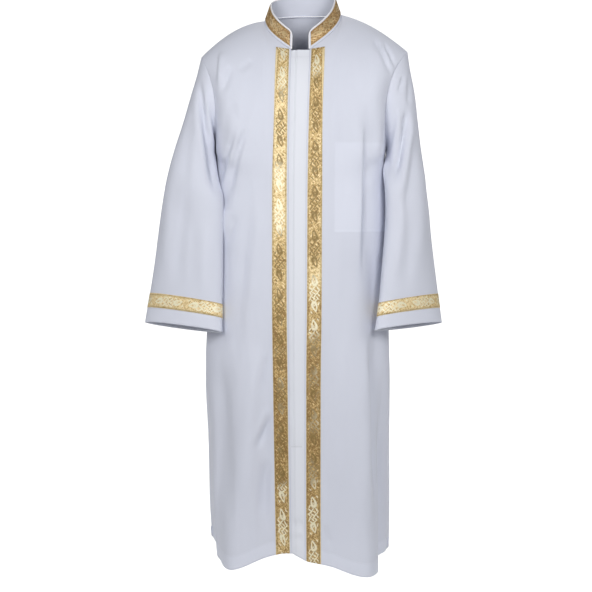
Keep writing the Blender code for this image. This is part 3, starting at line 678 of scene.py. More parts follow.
def neck_line(side: Side, back: bool) -> np.ndarray:
    """Draw half the neck seam on one side.

    Args:
        side: The side of the robe.
        back: Whether it is the back half.

    Returns:
        Points from the shoulder seam to the front's edge or the nape.
    """
    start = np.array(side.neck)
    reach = abs(EDGE_LINES[side.wearer](NECK_FRONT_HEIGHT)) / NECK_HALF_WIDTH
    last = math.pi / 2 if back else math.acos(reach)
    angles = np.linspace(0.0, last, FINE_STEPS)
    x = start[0] * np.cos(angles)
    if back:
        rise = (NAPE_HEIGHT - start[2]) * np.sin(angles)
        return np.stack([x, NECK_BACK_DEPTH * np.sin(angles), start[2] + rise], axis=1)
    drop = (NECK_FRONT_HEIGHT - start[2]) * angles / last
    return np.stack([x, -NECK_FRONT_DEPTH * np.sin(angles), start[2] + drop], axis=1)


def shoulder_line(side: Side) -> np.ndarray:
    """Draw the shoulder seam.

    Args:
        side: The side of the robe.

    Returns:
        Points from the neck to the tip of the shoulder.
    """
    t = np.linspace(0.0, 1.0, FINE_STEPS)[:, None]
    start, tip = np.array(side.neck), np.array(side.tip)
    line = start + (tip - start) * t
    line[:, 2] += side.shoulder_rise * 4.0 * (t * (1.0 - t))[:, 0]
    return line


def armhole_points(side: Side, angles: Any) -> np.ndarray:
    """Find points of the armhole.

    Args:
        side: The side of the robe.
        angles: Degrees: 0 at the shoulder's tip, 90 in front, 180 under the arm, 270 behind.

    Returns:
        The points.
    """
    tip, front, under, back = (np.array(p) for p in (side.tip, side.front, side.under, side.back))
    a = np.radians(angles)[..., None]
    return (
        (tip + front + under + back) / 4
        + (tip - under) / 2 * np.cos(a)
        + (front - back) / 2 * np.sin(a)
        + (tip + under - front - back) / 4 * np.cos(2 * a)
    )


def yoke_share(t: Any) -> Any:
    """Give how far up the yoke a row lies, by its share of the rows; they crowd towards the top."""
    return 1.0 - (1.0 - t) ** YOKE_SPACING


def skirt_grid(columns_at: Callable[[float], np.ndarray]) -> np.ndarray:
    """Lay the coarse rows of a panel below the yoke.

    Args:
        columns_at: Gives the girths of a row near a height.

    Returns:
        The rows, from the hem up.
    """
    shares = np.linspace(0.0, 1.0, SKIRT_ROWS)
    low = HEM_LINE(0.0)
    rows = []
    for share in (1.0 - SKIRT_SPACING) * shares + SKIRT_SPACING * shares**2:
        girths = columns_at(low + (YOKE_CENTRE_HEIGHT - low) * share)
        hems = HEM_LINE(girths)
        rows.append([body_point(g, hem + (yoke_height(g) - hem) * share) for g, hem in zip(girths, hems)])
    return np.array(rows)


def yoke_grid(
    low: np.ndarray,
    high: np.ndarray,
    first_edge: Callable[[float], np.ndarray],
    last_edge: Callable[[float], np.ndarray],
) -> np.ndarray:
    """Lay the coarse rows of a panel's yoke.

    Args:
        low: The row that it starts from.
        high: The row at the neck and the shoulder.
        first_edge: The first column, from 0 below to 1 above.
        last_edge: The last column, in the same way.

    Returns:
        The rows above the low one.
    """
    share = smooth_step(arc_lengths(low) / arc_lengths(low)[-1])[:, None]
    rows = []
    for t in yoke_share(np.linspace(0.0, 1.0, YOKE_ROWS + 1)[1:]):
        row = low + (high - low) * t
        over = 1.0 - (1.0 - t**SHOULDER_START) ** SHOULDER_END
        row[:, 1] = low[:, 1] + (high[:, 1] - low[:, 1]) * over
        rows.append(row + (first_edge(t) - row[0]) * (1 - share) + (last_edge(t) - row[-1]) * share)
    return np.array(rows)


def outward(points: np.ndarray, ring: bool = False) -> np.ndarray:
    """Find each point's direction out of the cloth.

    Args:
        points: Rows and columns of points.
        ring: Whether each row closes on itself.

    Returns:
        The directions, one for each point.
    """
    if ring:
        return outward(np.concatenate([points[:, -1:], points, points[:, :1]], axis=1))[:, 1:-1]
    across, up = np.gradient(points, axis=1), np.gradient(points, axis=0)
    normals = unit(np.cross(across, up))
    middle = points.reshape(-1, 3).mean(axis=0) * [1.0, 0.0, 1.0]
    return normals if (normals * (points - middle)).sum() > 0 else -normals


def finely(counts: Sequence[int], near_ends: Sequence[float] = ()) -> np.ndarray:
    """Part coarse grid lines into finer ones.

    Args:
        counts: How many steps each coarse stretch is parted into.
        near_ends: Extra places, by how far they lie before the last line.

    Returns:
        The places of the fine lines, counted in coarse lines.
    """
    places = [i + np.arange(count) / count for i, count in enumerate(counts)]
    extra = [len(counts) - gap for gap in near_ends]
    return np.sort(np.concatenate([*places, extra, [len(counts)]]))


def spline_weights(knots: np.ndarray, at: np.ndarray) -> np.ndarray:
    """Work out a natural cubic spline as weights.

    Args:
        knots: Where the known values lie.
        at: Where values are wanted.

    Returns:
        A matrix that turns the known values into the wanted ones.
    """
    count = len(knots)
    steps = np.diff(knots)
    bends, slopes = np.eye(count), np.zeros((count, count))
    for i in range(1, count - 1):
        before, after = steps[i - 1], steps[i]
        bends[i, i - 1 : i + 2] = before, 2 * (before + after), after
        slopes[i, i - 1 : i + 2] = 6 / before, -6 / before - 6 / after, 6 / after
    second = np.linalg.solve(bends, slopes)
    i = np.clip(np.searchsorted(knots, at, side="right") - 1, 0, count - 2)
    low = (knots[i + 1] - at) / steps[i]
    high = 1.0 - low
    weights = np.zeros((len(at), count))
    rows = np.arange(len(at))
    weights[rows, i] = low
    weights[rows, i + 1] = high
    square = steps[i] ** 2 / 6
    weights += ((low**3 - low) * square)[:, None] * second[i]
    weights += ((high**3 - high) * square)[:, None] * second[i + 1]
    return weights


def refined(coarse: np.ndarray, rows: np.ndarray, columns: np.ndarray) -> np.ndarray:
    """Draw smooth fine lines through a coarse grid.

    Args:
        coarse: The coarse grid.
        rows: The places of the fine rows, counted in coarse rows.
        columns: The places of the fine columns, counted in coarse columns.

    Returns:
        The fine grid.
    """
    row_knots = np.concatenate([
        SKIRT_SPAN * np.linspace(0.0, 1.0, SKIRT_ROWS),
        SKIRT_SPAN + YOKE_SPAN * yoke_share(np.linspace(0.0, 1.0, YOKE_ROWS + 1)[1:]),
    ])
    column_knots = np.concatenate([
        [0.0], np.cumsum(np.linalg.norm(np.diff(coarse, axis=1), axis=2).mean(axis=0))
    ])
    counts = [np.arange(size) for size in coarse.shape[:2]]
    by_row = spline_weights(row_knots, np.interp(rows, counts[0], row_knots))
    by_column = spline_weights(column_knots, np.interp(columns, counts[1], column_knots))
    return np.einsum("ij,jkl,mk->iml", by_row, coarse, by_column)


def kept_to(points: np.ndarray, line: np.ndarray, edge: Edge, near: np.ndarray) -> np.ndarray:
    """Draw an edge of a grid to its exact line, easing the change into the cloth.

    Args:
        points: The grid.
        line: The exact line of the edge.
        edge: Which edge.
        near: For each row or column, 1 at the edge and 0 where the cloth stays as it is.

    Returns:
        The changed grid.
    """
    if edge is Edge.TOP:
        return points + near[:, None, None] * (line - points[-1])[None]
    column = 0 if edge is Edge.FIRST else -1
    return points + near[None, :, None] * (line - points[:, column])[:, None]


def folded(
    points: np.ndarray, girths: np.ndarray, rows: np.ndarray, columns: np.ndarray, seams: dict[int, Side]
) -> np.ndarray:
    """Push the large folds of the solids into a panel.

    Args:
        points: The fine grid.
        girths: The girth of each column.
        rows: The places of the rows, counted in coarse rows.
        columns: The places of the columns, counted in coarse columns.
        seams: The panel's side seams, by column.

    Returns:
        The folded grid, whose side seams stay together.
    """
    away = outward(points)
    skirt = rows <= SKIRT_ROWS - 1
    near = np.full(len(columns), np.inf)
    for column, side in seams.items():
        away[skirt, column] = (side.sign, 0.0, 0.0)
        near = np.minimum(near, np.abs(columns - columns[column]) / SEAM_STILL_COLUMNS)
    up = np.clip(rows - (SKIRT_ROWS - 1), 0.0, None) / YOKE_ROWS
    in_yoke = smooth_step(rows - (SKIRT_ROWS - 2))[:, None]
    still = 1.0 + in_yoke * ((1.0 - up**3)[:, None] * np.minimum(near, 1.0)[None] - 1.0)
    height = fold_height(girths[None], points[..., 2])
    return points + away * (height * still)[..., None]


def crease_height(points: np.ndarray, creases: Sequence[Crease]) -> np.ndarray:
    """Add up the creases over points, as seen along Y.

    Args:
        points: The points, with X, Y and Z last.
        creases: The table of creases.

    Returns:
        How far they push each point outwards.
    """
    flat = points.reshape(-1, 3)[:, [0, 2]]
    total = np.zeros(len(flat))
    for crease in creases:
        line = crease.line()
        low, high = crease.low_side / PER_METRE, crease.high_side / PER_METRE
        reach = CREASE_REACH * max(low, high)
        inside = ((flat > line.min(axis=0) - reach) & (flat < line.max(axis=0) + reach)).all(axis=1)
        here = flat[inside]
        if not len(here):
            continue
        runs = np.diff(line, axis=0)
        offset = here[:, None] - line[None, :-1]
        t = np.clip((offset * runs).sum(axis=2) / (runs**2).sum(axis=1), 0.0, 1.0)
        gap = offset - runs * t[..., None]
        distance = np.linalg.norm(gap, axis=2)
        nearest = distance.argmin(axis=1)
        pick = (np.arange(len(here)), nearest)
        run = unit(runs)[nearest]
        aside = run[:, 0] * gap[pick][:, 1] - run[:, 1] * gap[pick][:, 0]
        width = np.where(aside > 0, high, low)
        along = (nearest + t[pick]) / len(runs)
        ends = smooth_step(along / CREASE_RISE) * smooth_step((1 - along) / CREASE_FALL)
        total[inside] += crease.height / PER_METRE * ends * np.exp(-((distance[pick] / width) ** 2))
    return total.reshape(points.shape[:-1])


@dataclass(frozen=True)
class LooseFolds:
    """Many faint folds that a seeded draw lays over a panel."""

    seed: int
    count: int
    x_low: float
    x_high: float
    top: float
    bottom: float
    height: float = 0.0006
    heights: tuple[float, float] = (0.4, 1.0)
    lengths: tuple[float, float] = (0.10, 0.34)
    widths: tuple[float, float] = (0.008, 0.022)
    lopsided: tuple[float, float] = (0.7, 1.4)
    lean: float = 0.10
    bend: float = 0.006

    def creases(self) -> list[Crease]:
        """Draw the folds.

        Returns:
            A crease for each, about as long and as wide as the cloth's own faint folds.
        """
        draw = np.random.default_rng(self.seed)
        folds = []
        for number in range(self.count):
            x = draw.uniform(self.x_low, self.x_high)
            z = draw.uniform(self.bottom, self.top)
            length, lean = draw.uniform(*self.lengths), draw.normal(0.0, self.lean)
            width = draw.uniform(*self.widths)
            height = self.height * draw.uniform(*self.heights) * draw.choice([-1.0, 1.0])
            bend = draw.normal(0.0, self.bend)
            high_side = width * draw.uniform(*self.lopsided)
            aside, half = lean * length / 2, length / 2
            sizes = (x + aside, z + half, x + bend, z, x - aside, z - half, width, high_side, height)
            folds.append(Crease(f"loose fold {number}", *(size * PER_METRE for size in sizes)))
        return folds


def free_from(cut: np.ndarray, first: bool = False) -> np.ndarray:
    """Find where a panel's cloth is free of its seams.

    Args:
        cut: Each point's place on the cut.
        first: Whether the first column is sewn too, as the last column and the top are.

    Returns:
        0 at the seams and 1 from HELD_MARGIN on.
    """
    free = smooth_step((cut[:, -1:, 0] - cut[..., 0]) / HELD_MARGIN)
    free = free * smooth_step((cut[-1:, :, 1] - cut[..., 1]) / HELD_MARGIN)
    return free * smooth_step(cut[..., 0] / HELD_MARGIN) if first else free


def creased(
    points: np.ndarray, creases: Sequence[Crease], facing: int, free: np.ndarray, ring: bool = False
) -> np.ndarray:
    """Push creases into a grid where it faces the front or the back.

    Args:
        points: The grid.
        creases: The table of creases.
        facing: -1 for the front, 1 for the back.
        free: 1 where the cloth may move and 0 where it is held.
        ring: Whether each row closes on itself.

    Returns:
        The creased grid.
    """
    away = outward(points, ring)
    seen = smooth_step((away[..., 1] * facing + FACING_START) / FACING_FADE)
    height = crease_height(points, creases) * CREASE_GAIN * seen * free
    return points + away * height[..., None]


def cut_of(points: np.ndarray) -> np.ndarray:
    """Measure a grid across and up.

    Args:
        points: The grid.

    Returns:
        For each point, its distance from the first column and from the first row, in metres.
    """
    across = np.zeros(points.shape[:2])
    across[:, 1:] = np.cumsum(np.linalg.norm(np.diff(points, axis=1), axis=2), axis=1)
    up = np.zeros(points.shape[:2])
    up[1:] = np.cumsum(np.linalg.norm(np.diff(points, axis=0), axis=2), axis=0)
    return np.stack([across, up], axis=-1)


@dataclass
class Cloth:
    """A fine grid of cloth, its directions outwards and its places on the cut, in metres."""

    points: np.ndarray
    away: np.ndarray
    cut: np.ndarray

    @classmethod
    def of(cls, points: np.ndarray, ring: bool = False) -> "Cloth":
        """Measure a grid of points; a ring's rows close on themselves."""
        return cls(points, outward(points, ring), cut_of(points))

    def part(self, rows: Any, columns: Any) -> "Cloth":
        """Take some rows and columns, as slices or lists."""
        return Cloth(self.points[rows][:, columns], self.away[rows][:, columns], self.cut[rows][:, columns])

    def moved(self, distance: float) -> "Cloth":
        """Move it outwards."""
        return Cloth(self.points + self.away * distance, self.away, self.cut)

    def _lines(self, edge: Edge) -> tuple[np.ndarray, np.ndarray, np.ndarray, np.ndarray]:
        """Read an edge.

        Args:
            edge: Which edge.

        Returns:
            Its points, the points inside it, its directions and its cut.
        """
        pick = {
            Edge.FIRST: (np.s_[:, 0], np.s_[:, 1]),
            Edge.LAST: (np.s_[:, -1], np.s_[:, -2]),
            Edge.BOTTOM: (np.s_[0], np.s_[1]),
            Edge.TOP: (np.s_[-1], np.s_[-2]),
        }
        line, inner = pick[edge]
        return self.points[line], self.points[inner], self.away[line], self.cut[line]

    def _with(self, edge: Edge, lines: list[tuple[np.ndarray, np.ndarray, np.ndarray]]) -> "Cloth":
        """Replace an edge by lines.

        Args:
            edge: Which edge.
            lines: Points, directions and cut of each line, from the cloth outwards.

        Returns:
            The cloth with its new edge.
        """
        before = edge in (Edge.FIRST, Edge.BOTTOM)
        axis = 1 if edge in (Edge.FIRST, Edge.LAST) else 0
        keep = slice(1, None) if before else slice(None, -1)
        lines = lines[::-1] if before else lines
        grids = []
        for index, whole in enumerate((self.points, self.away, self.cut)):
            added = np.stack([line[index] for line in lines], axis=axis)
            rest = whole[:, keep] if axis else whole[keep]
            grids.append(np.concatenate([added, rest] if before else [rest, added], axis=axis))
        return Cloth(*grids)

    def seamed(self, *edges: Edge) -> "Cloth":
        """Turn the allowance of sewn edges in, behind the seam.

        Args:
            edges: Which edges, in the order of the sewing.

        Returns:
            The cloth with its allowances.
        """
        cloth = self
        for edge in edges:
            line, inner, away, cut = cloth._lines(edge)
            drawn = line + unit(inner - line) * SEAM_PULL
            depths = (SEAM_DIP, SEAM_DIP + ALLOWANCE * TURNED_SHARE, SEAM_DIP + ALLOWANCE)
            cloth = cloth._with(edge, [(drawn - away * depth, away, cut) for depth in depths])
        return cloth

    def hemmed(self, edge: Edge, inner_lines: Sequence[int]) -> "Cloth":
        """Turn a hem up inside.

        Args:
            edge: BOTTOM or TOP, where the hem is.
            inner_lines: The rows that the turned-up layer follows, from the edge.

        Returns:
            The cloth with its hem.
        """
        line, inner, away, cut = self._lines(edge)
        out = unit(line - inner)
        folding = line + out * HEM_FOLD * TURNED_SHARE - away * HEM_FOLD / 2
        lines = [(line, away, cut), (folding, out, cut)]
        for row in inner_lines:
            lines.append((self.points[row] - self.away[row] * HEM_FOLD, -self.away[row], self.cut[row]))
        return self._with(edge, lines)


def select_only(thing: bpy.types.Object) -> None:
    """Select one object alone and make it active.

    Args:
        thing: The object.
    """
    bpy.ops.object.select_all(action="DESELECT")
    thing.select_set(True)
    bpy.context.view_layer.objects.active = thing


def shell(
    name: str,
    cloth: Cloth,
    wall: float,
    material: bpy.types.Material,
    ring: bool = False,
    outwards: bool = False,
) -> bpy.types.Object:
    """Make a thin shell of cloth.

    Args:
        name: The piece's name.
        cloth: Its grid.
        wall: Its thickness.
        material: Its finish.
        ring: Whether its rows close on themselves.
        outwards: Whether the wall grows outwards from the grid.

    Returns:
        The piece.
    """
    rows, columns = cloth.points.shape[:2]
    corners = np.arange(rows * columns).reshape(rows, columns)
    uv_corners = cloth.cut
    if ring:
        corners = np.concatenate([corners, corners[:, :1]], axis=1)
        last = cloth.points[:, -1:] - cloth.points[:, :1]
        closing = cloth.cut[:, -1:].copy()
        closing[..., 0] += np.linalg.norm(last, axis=2)
        uv_corners = np.concatenate([cloth.cut, closing], axis=1)
    order = [np.s_[:-1, :-1], np.s_[:-1, 1:], np.s_[1:, 1:], np.s_[1:, :-1]]
    faces = np.stack([corners[place] for place in order], axis=-1).reshape(-1, 4)
    uvs = np.stack([uv_corners[place] for place in order], axis=2).reshape(-1, 2)
    flat = cloth.points.reshape(-1, 3)
    middle = rows // 2 * (corners.shape[1] - 1) + columns // 2
    a, b, _, d = flat[faces[middle]]
    facing = np.dot(np.cross(b - a, d - a), cloth.away.reshape(-1, 3)[faces[middle][0]])
    if facing < 0:
        faces = faces[:, ::-1]
        uvs = uvs.reshape(-1, 4, 2)[:, ::-1].reshape(-1, 2)
    mesh = bpy.data.meshes.new(name)
    mesh.from_pydata(flat.tolist(), [], faces.tolist())
    layer = mesh.uv_layers.new(name="cut")
    layer.data.foreach_set("uv", uvs.astype(np.float32).reshape(-1))
    mesh.materials.append(material)
    piece = bpy.data.objects.new(name, mesh)
    bpy.context.scene.collection.objects.link(piece)
    select_only(piece)
    solid = piece.modifiers.new("wall", "SOLIDIFY")
    solid.thickness = wall
    solid.offset = 1.0 if outwards else -1.0
    bpy.ops.object.modifier_apply(modifier=solid.name)
    bpy.ops.object.shade_smooth()
    return piece


@dataclass(frozen=True)
class Cut:
    """The flat size that a sheet was cut to."""

    width: float
    length: float
    area: float
    held: Held = Held.HUNG


def dress(
    piece: bpy.types.Object, node: str, cut: Cut | None = None
) -> None:
    """Put a piece in the place of a node, hide the node's solid and log its faces.

    Args:
        piece: The piece.
        node: The node that it stands for.
        cut: Its flat size, if it is a sheet; not used.
    """
    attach(piece, BODY)
    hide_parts(node)
    LOG.info("%s: %d faces", piece.name, len(piece.data.polygons))


def _operator(kind: str, reflected: bool = False) -> Callable[["Signal", Any], "Signal"]:
    """Make an operator of signals.

    Args:
        kind: The Math node that it stands for.
        reflected: Whether the other value comes first.

    Returns:
        The method, which takes a signal or a number.
    """

    def calculate(self: "Signal", other: "Signal | float") -> "Signal":
        """Add the Math node."""
        return self.sheet.math(kind, *((other, self) if reflected else (self, other)))

    return calculate


class Signal:
    """A shader socket that can be calculated with; either is the larger of two and both the smaller."""

    __add__, __radd__ = _operator("ADD"), _operator("ADD", True)
    __sub__, __rsub__ = _operator("SUBTRACT"), _operator("SUBTRACT", True)
    __mul__, __rmul__ = _operator("MULTIPLY"), _operator("MULTIPLY", True)
    __truediv__, __rtruediv__ = _operator("DIVIDE"), _operator("DIVIDE", True)
    modulo, either, both = _operator("FLOORED_MODULO"), _operator("MAXIMUM"), _operator("MINIMUM")

    def __init__(self, sheet: "NodeSheet", socket: bpy.types.NodeSocket) -> None:
        """Wrap a socket of a node sheet."""
        self.sheet = sheet
        self.socket = socket

    def size(self) -> "Signal":
        """Give the value without its sign."""
        return self.sheet.math("ABSOLUTE", self)

    def wave(self, period: float) -> "Signal":
        """Give a sine wave along the value."""
        return self.sheet.math("SINE", self * (TURN / period))

    def rise(self, low: float, high: float) -> "Signal":
        """Ease from 0 at low to 1 at high."""
        sockets = {"Value": self, "From Min": low, "From Max": high}
        return self.sheet.node("ShaderNodeMapRange", {"interpolation_type": "SMOOTHSTEP"}, sockets)

    def near(self, place: float, reach: float) -> "Signal":
        """Ease from 1 at a place to 0 at a reach from it."""
        return 1.0 - (self - place).size().rise(0.0, reach)

    def between(self, low: float, high: float, soft_low: float, soft_high: float) -> "Signal":
        """Give 1 from low to high and 0 beyond, with soft ends."""
        past = self.rise(high - soft_high, high + soft_high)
        return self.rise(low - soft_low, low + soft_low) * (1.0 - past)


class NodeSheet:
    """The nodes of one material."""

    def __init__(self, name: str) -> None:
        """Start a material.

        Args:
            name: Its name.
        """
        self.material = bpy.data.materials.new(name)
        self.material.use_nodes = True
        self.tree = self.material.node_tree
        self.shader = self.tree.nodes["Principled BSDF"]

    @staticmethod
    def _socket(sockets: Any, key: str | int) -> bpy.types.NodeSocket:
        """Find a socket.

        Args:
            sockets: A node's inputs or outputs.
            key: The socket's number, identifier or name.

        Returns:
            The socket.
        """
        if isinstance(key, int):
            return sockets[key]
        return next((s for s in sockets if s.identifier == key), None) or sockets[key]

    def node(
        self, kind: str, settings: dict[str, Any], sockets: dict[str | int, Any], result: str | int = 0
    ) -> Signal:
        """Add a node.

        Args:
            kind: The node's type.
            settings: Its settings, and under "stops" a ramp's places and colours.
            sockets: Values or links of its input sockets.
            result: Which output is wanted.

        Returns:
            The output.
        """
        node = self.tree.nodes.new(kind)
        for key, value in settings.items():
            if key == "stops":
                ramp = node.color_ramp
                while len(ramp.elements) < len(value):
                    ramp.elements.new(0.5)
                for element, (place, colour) in zip(ramp.elements, value, strict=True):
                    element.position = place
                    element.color = (*colour, 1.0)
            else:
                setattr(node, key, value)
        for key, value in sockets.items():
            self.feed(self._socket(node.inputs, key), value)
        return Signal(self, self._socket(node.outputs, result))

    def feed(self, socket: bpy.types.NodeSocket, value: Any) -> None:
        """Link a signal to a socket or set its value.

        Args:
            socket: The input socket.
            value: A signal, a colour of three numbers or a plain value.
        """
        if isinstance(value, Signal):
            self.tree.links.new(value.socket, socket)
        elif isinstance(value, tuple) and socket.type == "RGBA":
            socket.default_value = (*value, 1.0)
        else:
            socket.default_value = value

    def math(self, operation: str, *values: "Signal | float") -> Signal:
        """Add a Math node."""
        return self.node("ShaderNodeMath", {"operation": operation}, dict(enumerate(values)))

    def mix(self, share: "Signal | float", low: Any, high: Any) -> Signal:
        """Mix two colours, low at a share of 0 and high at 1."""
        sockets = {"Factor_Float": share, "A_Color": low, "B_Color": high}
        return self.node("ShaderNodeMix", {"data_type": "RGBA"}, sockets, "Result_Color")

    def shade(self, colour: Any, factor: Signal) -> Signal:
        """Multiply a colour by a number.

        Args:
            colour: The colour, or a signal of one.
            factor: The number's signal.

        Returns:
            The product.
        """
        grey = self.node("ShaderNodeCombineColor", {}, {0: factor, 1: factor, 2: factor})
        settings = {"data_type": "RGBA", "blend_type": "MULTIPLY"}
        sockets = {"Factor_Float": 1.0, "A_Color": colour, "B_Color": grey}
        return self.node("ShaderNodeMix", settings, sockets, "Result_Color")

    def place(self) -> Signal:
        """Give Object coordinates."""
        return self.node("ShaderNodeTexCoord", {}, {}, "Object")

    def cut(self) -> tuple[Signal, Signal]:
        """Give how far across and up the cloth a point lies, in metres."""
        return self.parts(self.node("ShaderNodeUVMap", {"uv_map": "cut"}, {}))[:2]

    def parts(self, vector: Signal) -> tuple[Signal, Signal, Signal]:
        """Part a vector."""
        node = self.node("ShaderNodeSeparateXYZ", {}, {0: vector}).socket.node
        return tuple(Signal(self, socket) for socket in node.outputs)

    def vector(self, x: Any, y: Any, z: Any = 0.0) -> Signal:
        """Put a vector together."""
        return self.node("ShaderNodeCombineXYZ", {}, {0: x, 1: y, 2: z})

    def noise(self, at: Signal, scale: float, detail: float = 2.0) -> Signal:
        """Add a noise, about 0.5 in the mean."""
        return self.node("ShaderNodeTexNoise", {}, {"Vector": at, "Scale": scale, "Detail": detail})

    def relief(self, height: Signal, strength: float) -> Signal:
        """Bump a height in metres."""
        return self.node("ShaderNodeBump", {}, {"Height": height, "Distance": 1.0, "Strength": strength})

    def finished(self, varied: dict[str, Signal], plain: dict[str, Any]) -> bpy.types.Material:
        """Feed the shader.

        Args:
            varied: Signals of its sockets.
            plain: Its plain values.

        Returns:
            The material.
        """
        for name, value in {**varied, **plain}.items():
            self.feed(self.shader.inputs[name], value)
        return self.material


@dataclass(frozen=True)
class StitchLine:
    """A sewn line at a distance from the first row (or, across, from the first column) of the cut."""

    at: float
    across: bool = False


@dataclass(frozen=True)
class BarTack:
    """A short row of close stitches across the cloth, in Object coordinates."""

    x_low: float
    x_high: float
    height: float


@dataclass(frozen=True)
class LighterPlace:
    """An upright rectangle of the cloth that another layer behind it makes lighter."""

    x_low: float
    x_high: float
    bottom: float
    top: float


@dataclass(frozen=True)
class Mark:
    """Something on the cloth: where it is from 0 to 1, and what it adds to the tone and the height."""

    where: Signal
    tone: float
    height: float


@dataclass(frozen=True)
class WhiteCloth:
    """A smooth plain-woven white cloth with a faint bluish cast and a low sheen."""

    name: str
    colour: tuple[float, float, float] = (0.700, 0.722, 0.815)
    roughness: float = 0.62
    sheen: float = 0.12
    hem: float = 0.0
    stitches: tuple[StitchLine, ...] = ()
    lighter: LighterPlace | None = None
    tack: BarTack | None = None
    warp_pitch: float = 0.0008
    weft_pitch: float = 0.0007
    thread_height: float = 0.00003
    seam_width: float = 0.0018
    stitch_width: float = 0.0006
    stitch_pitch: float = 0.0030
    tack_width: float = 0.0028
    soft: float = 0.0012

    def _sewing(self, across: Signal, up: Signal) -> Iterator[Mark]:
        """Find the marks of the sewing.

        Args:
            across: How far across the cut a point lies.
            up: How far up it lies.

        Yields:
            The doubled cloth of the hem, and each line's dimple, darkened with painted shade, and its
            stitches.
        """
        if self.hem:
            doubled = 1.0 - up.rise(self.hem - self.stitch_width, self.hem + self.stitch_width)
            yield Mark(doubled, 0.05, 0.00025)
        for line in self.stitches:
            along, place = (up, across) if line.across else (across, up)
            dashes = along.wave(self.stitch_pitch).rise(-0.5, 0.1)
            # The dimple's darker tone is painted shade in its groove.
            yield Mark(place.near(line.at, self.seam_width), -0.05, -0.0005)
            yield Mark(place.near(line.at, self.stitch_width) * dashes, 0.06, 0.0003)

    def _places(self, x: Signal, z: Signal) -> Iterator[Mark]:
        """Find the marks that lie at places of the robe.

        Args:
            x: Where a point is across the robe.
            z: Its height.

        Yields:
            The lighter place with its rim, and the bar tack.
        """
        if self.lighter is not None:
            place, soft = self.lighter, self.soft
            inside = x.between(place.x_low, place.x_high, soft * 3, soft)
            inside = inside * z.between(place.bottom, place.top, soft, soft * 4)
            yield Mark(inside, 0.06, 0.0004)
            yield Mark(inside * z.near(place.bottom + 0.004, 0.005), 0.03, 0.0)
        if self.tack is not None:
            across = x.between(self.tack.x_low, self.tack.x_high, 0.001, 0.001)
            yield Mark(z.near(self.tack.height, self.tack_width) * across, -0.11, -0.0005)

    def material(self) -> bpy.types.Material:
        """Make the finish.

        Returns:
            The material.
        """
        nodes = NodeSheet(self.name)
        across, up = nodes.cut()
        x, _, z = nodes.parts(nodes.place())
        grain = nodes.noise(nodes.vector(across * 2600.0, up * 260.0), 1.0)
        slub = nodes.noise(nodes.vector(across * 150.0, up * 1900.0), 1.0)
        mottle = nodes.noise(nodes.place(), 9.0, 3.0)
        tone = 0.955 + mottle * 0.04 + grain * 0.02 + slub * 0.02
        height = (across.wave(self.warp_pitch) * up.wave(self.weft_pitch) + grain + slub) * self.thread_height
        for mark in (*self._sewing(across, up), *self._places(x, z)):
            tone = tone + mark.where * mark.tone
            height = height + mark.where * mark.height
        varied = {
            "Base Color": nodes.shade(self.colour, tone),
            "Roughness": self.roughness + (mottle - 0.5) * 0.08,
            "Normal": nodes.relief(height, 0.8),
        }
        plain = {"Sheen Weight": self.sheen, "Sheen Roughness": 0.4, "Specular IOR Level": 0.35}
        return nodes.finished(varied, plain)


@dataclass(frozen=True)
class Motif:
    """A leaf-shaped figure of the braid, by its place in the repeat; tilt in degrees.

    Its narrow end points back along the braid, or onwards with a tilt near 180.
    """

    name: str
    across: float
    along: float
    length: float
    width: float
    tilt: float
    taper: float = 0.3


REPEAT = 0.1103
DROPS = (
    Motif("upright drop", 0.0182, 0.0213, 0.0300, 0.0142, 13, 0.52),
    Motif("hanging drop", 0.0192, 0.0865, 0.0292, 0.0136, 197, 0.52),
)
SLITS = (
    Motif("slit of the upright drop", 0.0174, 0.0206, 0.0170, 0.0052, 12, 0.2),
    Motif("slit of the hanging drop", 0.0198, 0.0872, 0.0164, 0.0050, 196, 0.2),
)
CORES = (
    Motif("core of the upright drop", 0.0180, 0.0246, 0.0062, 0.0026, 12, 0.0),
    Motif("core of the hanging drop", 0.0190, 0.0834, 0.0062, 0.0026, 16, 0.0),
)
SPRIG = (
    Motif("first row, left leaf", 0.0090, 0.0402, 0.0110, 0.0034, 46),
    Motif("first row, middle leaf", 0.0172, 0.0396, 0.0104, 0.0032, -44),
    Motif("first row, right leaf", 0.0262, 0.0410, 0.0112, 0.0034, 32),
    Motif("second row, left leaf", 0.0128, 0.0460, 0.0112, 0.0034, -52),
    Motif("second row, middle leaf", 0.0212, 0.0468, 0.0108, 0.0032, 44),
    Motif("second row, right leaf", 0.0298, 0.0472, 0.0090, 0.0030, -30),
    Motif("third row, left leaf", 0.0082, 0.0520, 0.0098, 0.0032, 30),
    Motif("third row, middle leaf", 0.0166, 0.0528, 0.0112, 0.0034, 54),
    Motif("third row, right leaf", 0.0250, 0.0534, 0.0108, 0.0034, -46),
    Motif("fourth row, left leaf", 0.0118, 0.0584, 0.0104, 0.0032, -42),
    Motif("fourth row, middle leaf", 0.0202, 0.0592, 0.0110, 0.0034, -34),
    Motif("fourth row, right leaf", 0.0288, 0.0590, 0.0102, 0.0032, 40),
    Motif("fifth row, left leaf", 0.0086, 0.0646, 0.0098, 0.0030, -30),
    Motif("fifth row, middle leaf", 0.0164, 0.0652, 0.0112, 0.0034, 46),
    Motif("fifth row, right leaf", 0.0250, 0.0654, 0.0108, 0.0032, 36),
    Motif("last row, left leaf", 0.0124, 0.0706, 0.0094, 0.0030, 50),
    Motif("last row, right leaf", 0.0222, 0.0712, 0.0096, 0.0030, -44),
    Motif("small leaf beside the upright drop", 0.0088, 0.0312, 0.0090, 0.0030, -26),
    Motif("small leaf beside the hanging drop", 0.0292, 0.0800, 0.0090, 0.0030, -20),
    Motif("small leaf under the hanging drop", 0.0110, 0.0995, 0.0080, 0.0028, 38),
    Motif("small leaf over the upright drop", 0.0276, 0.0090, 0.0080, 0.0028, 34),
)


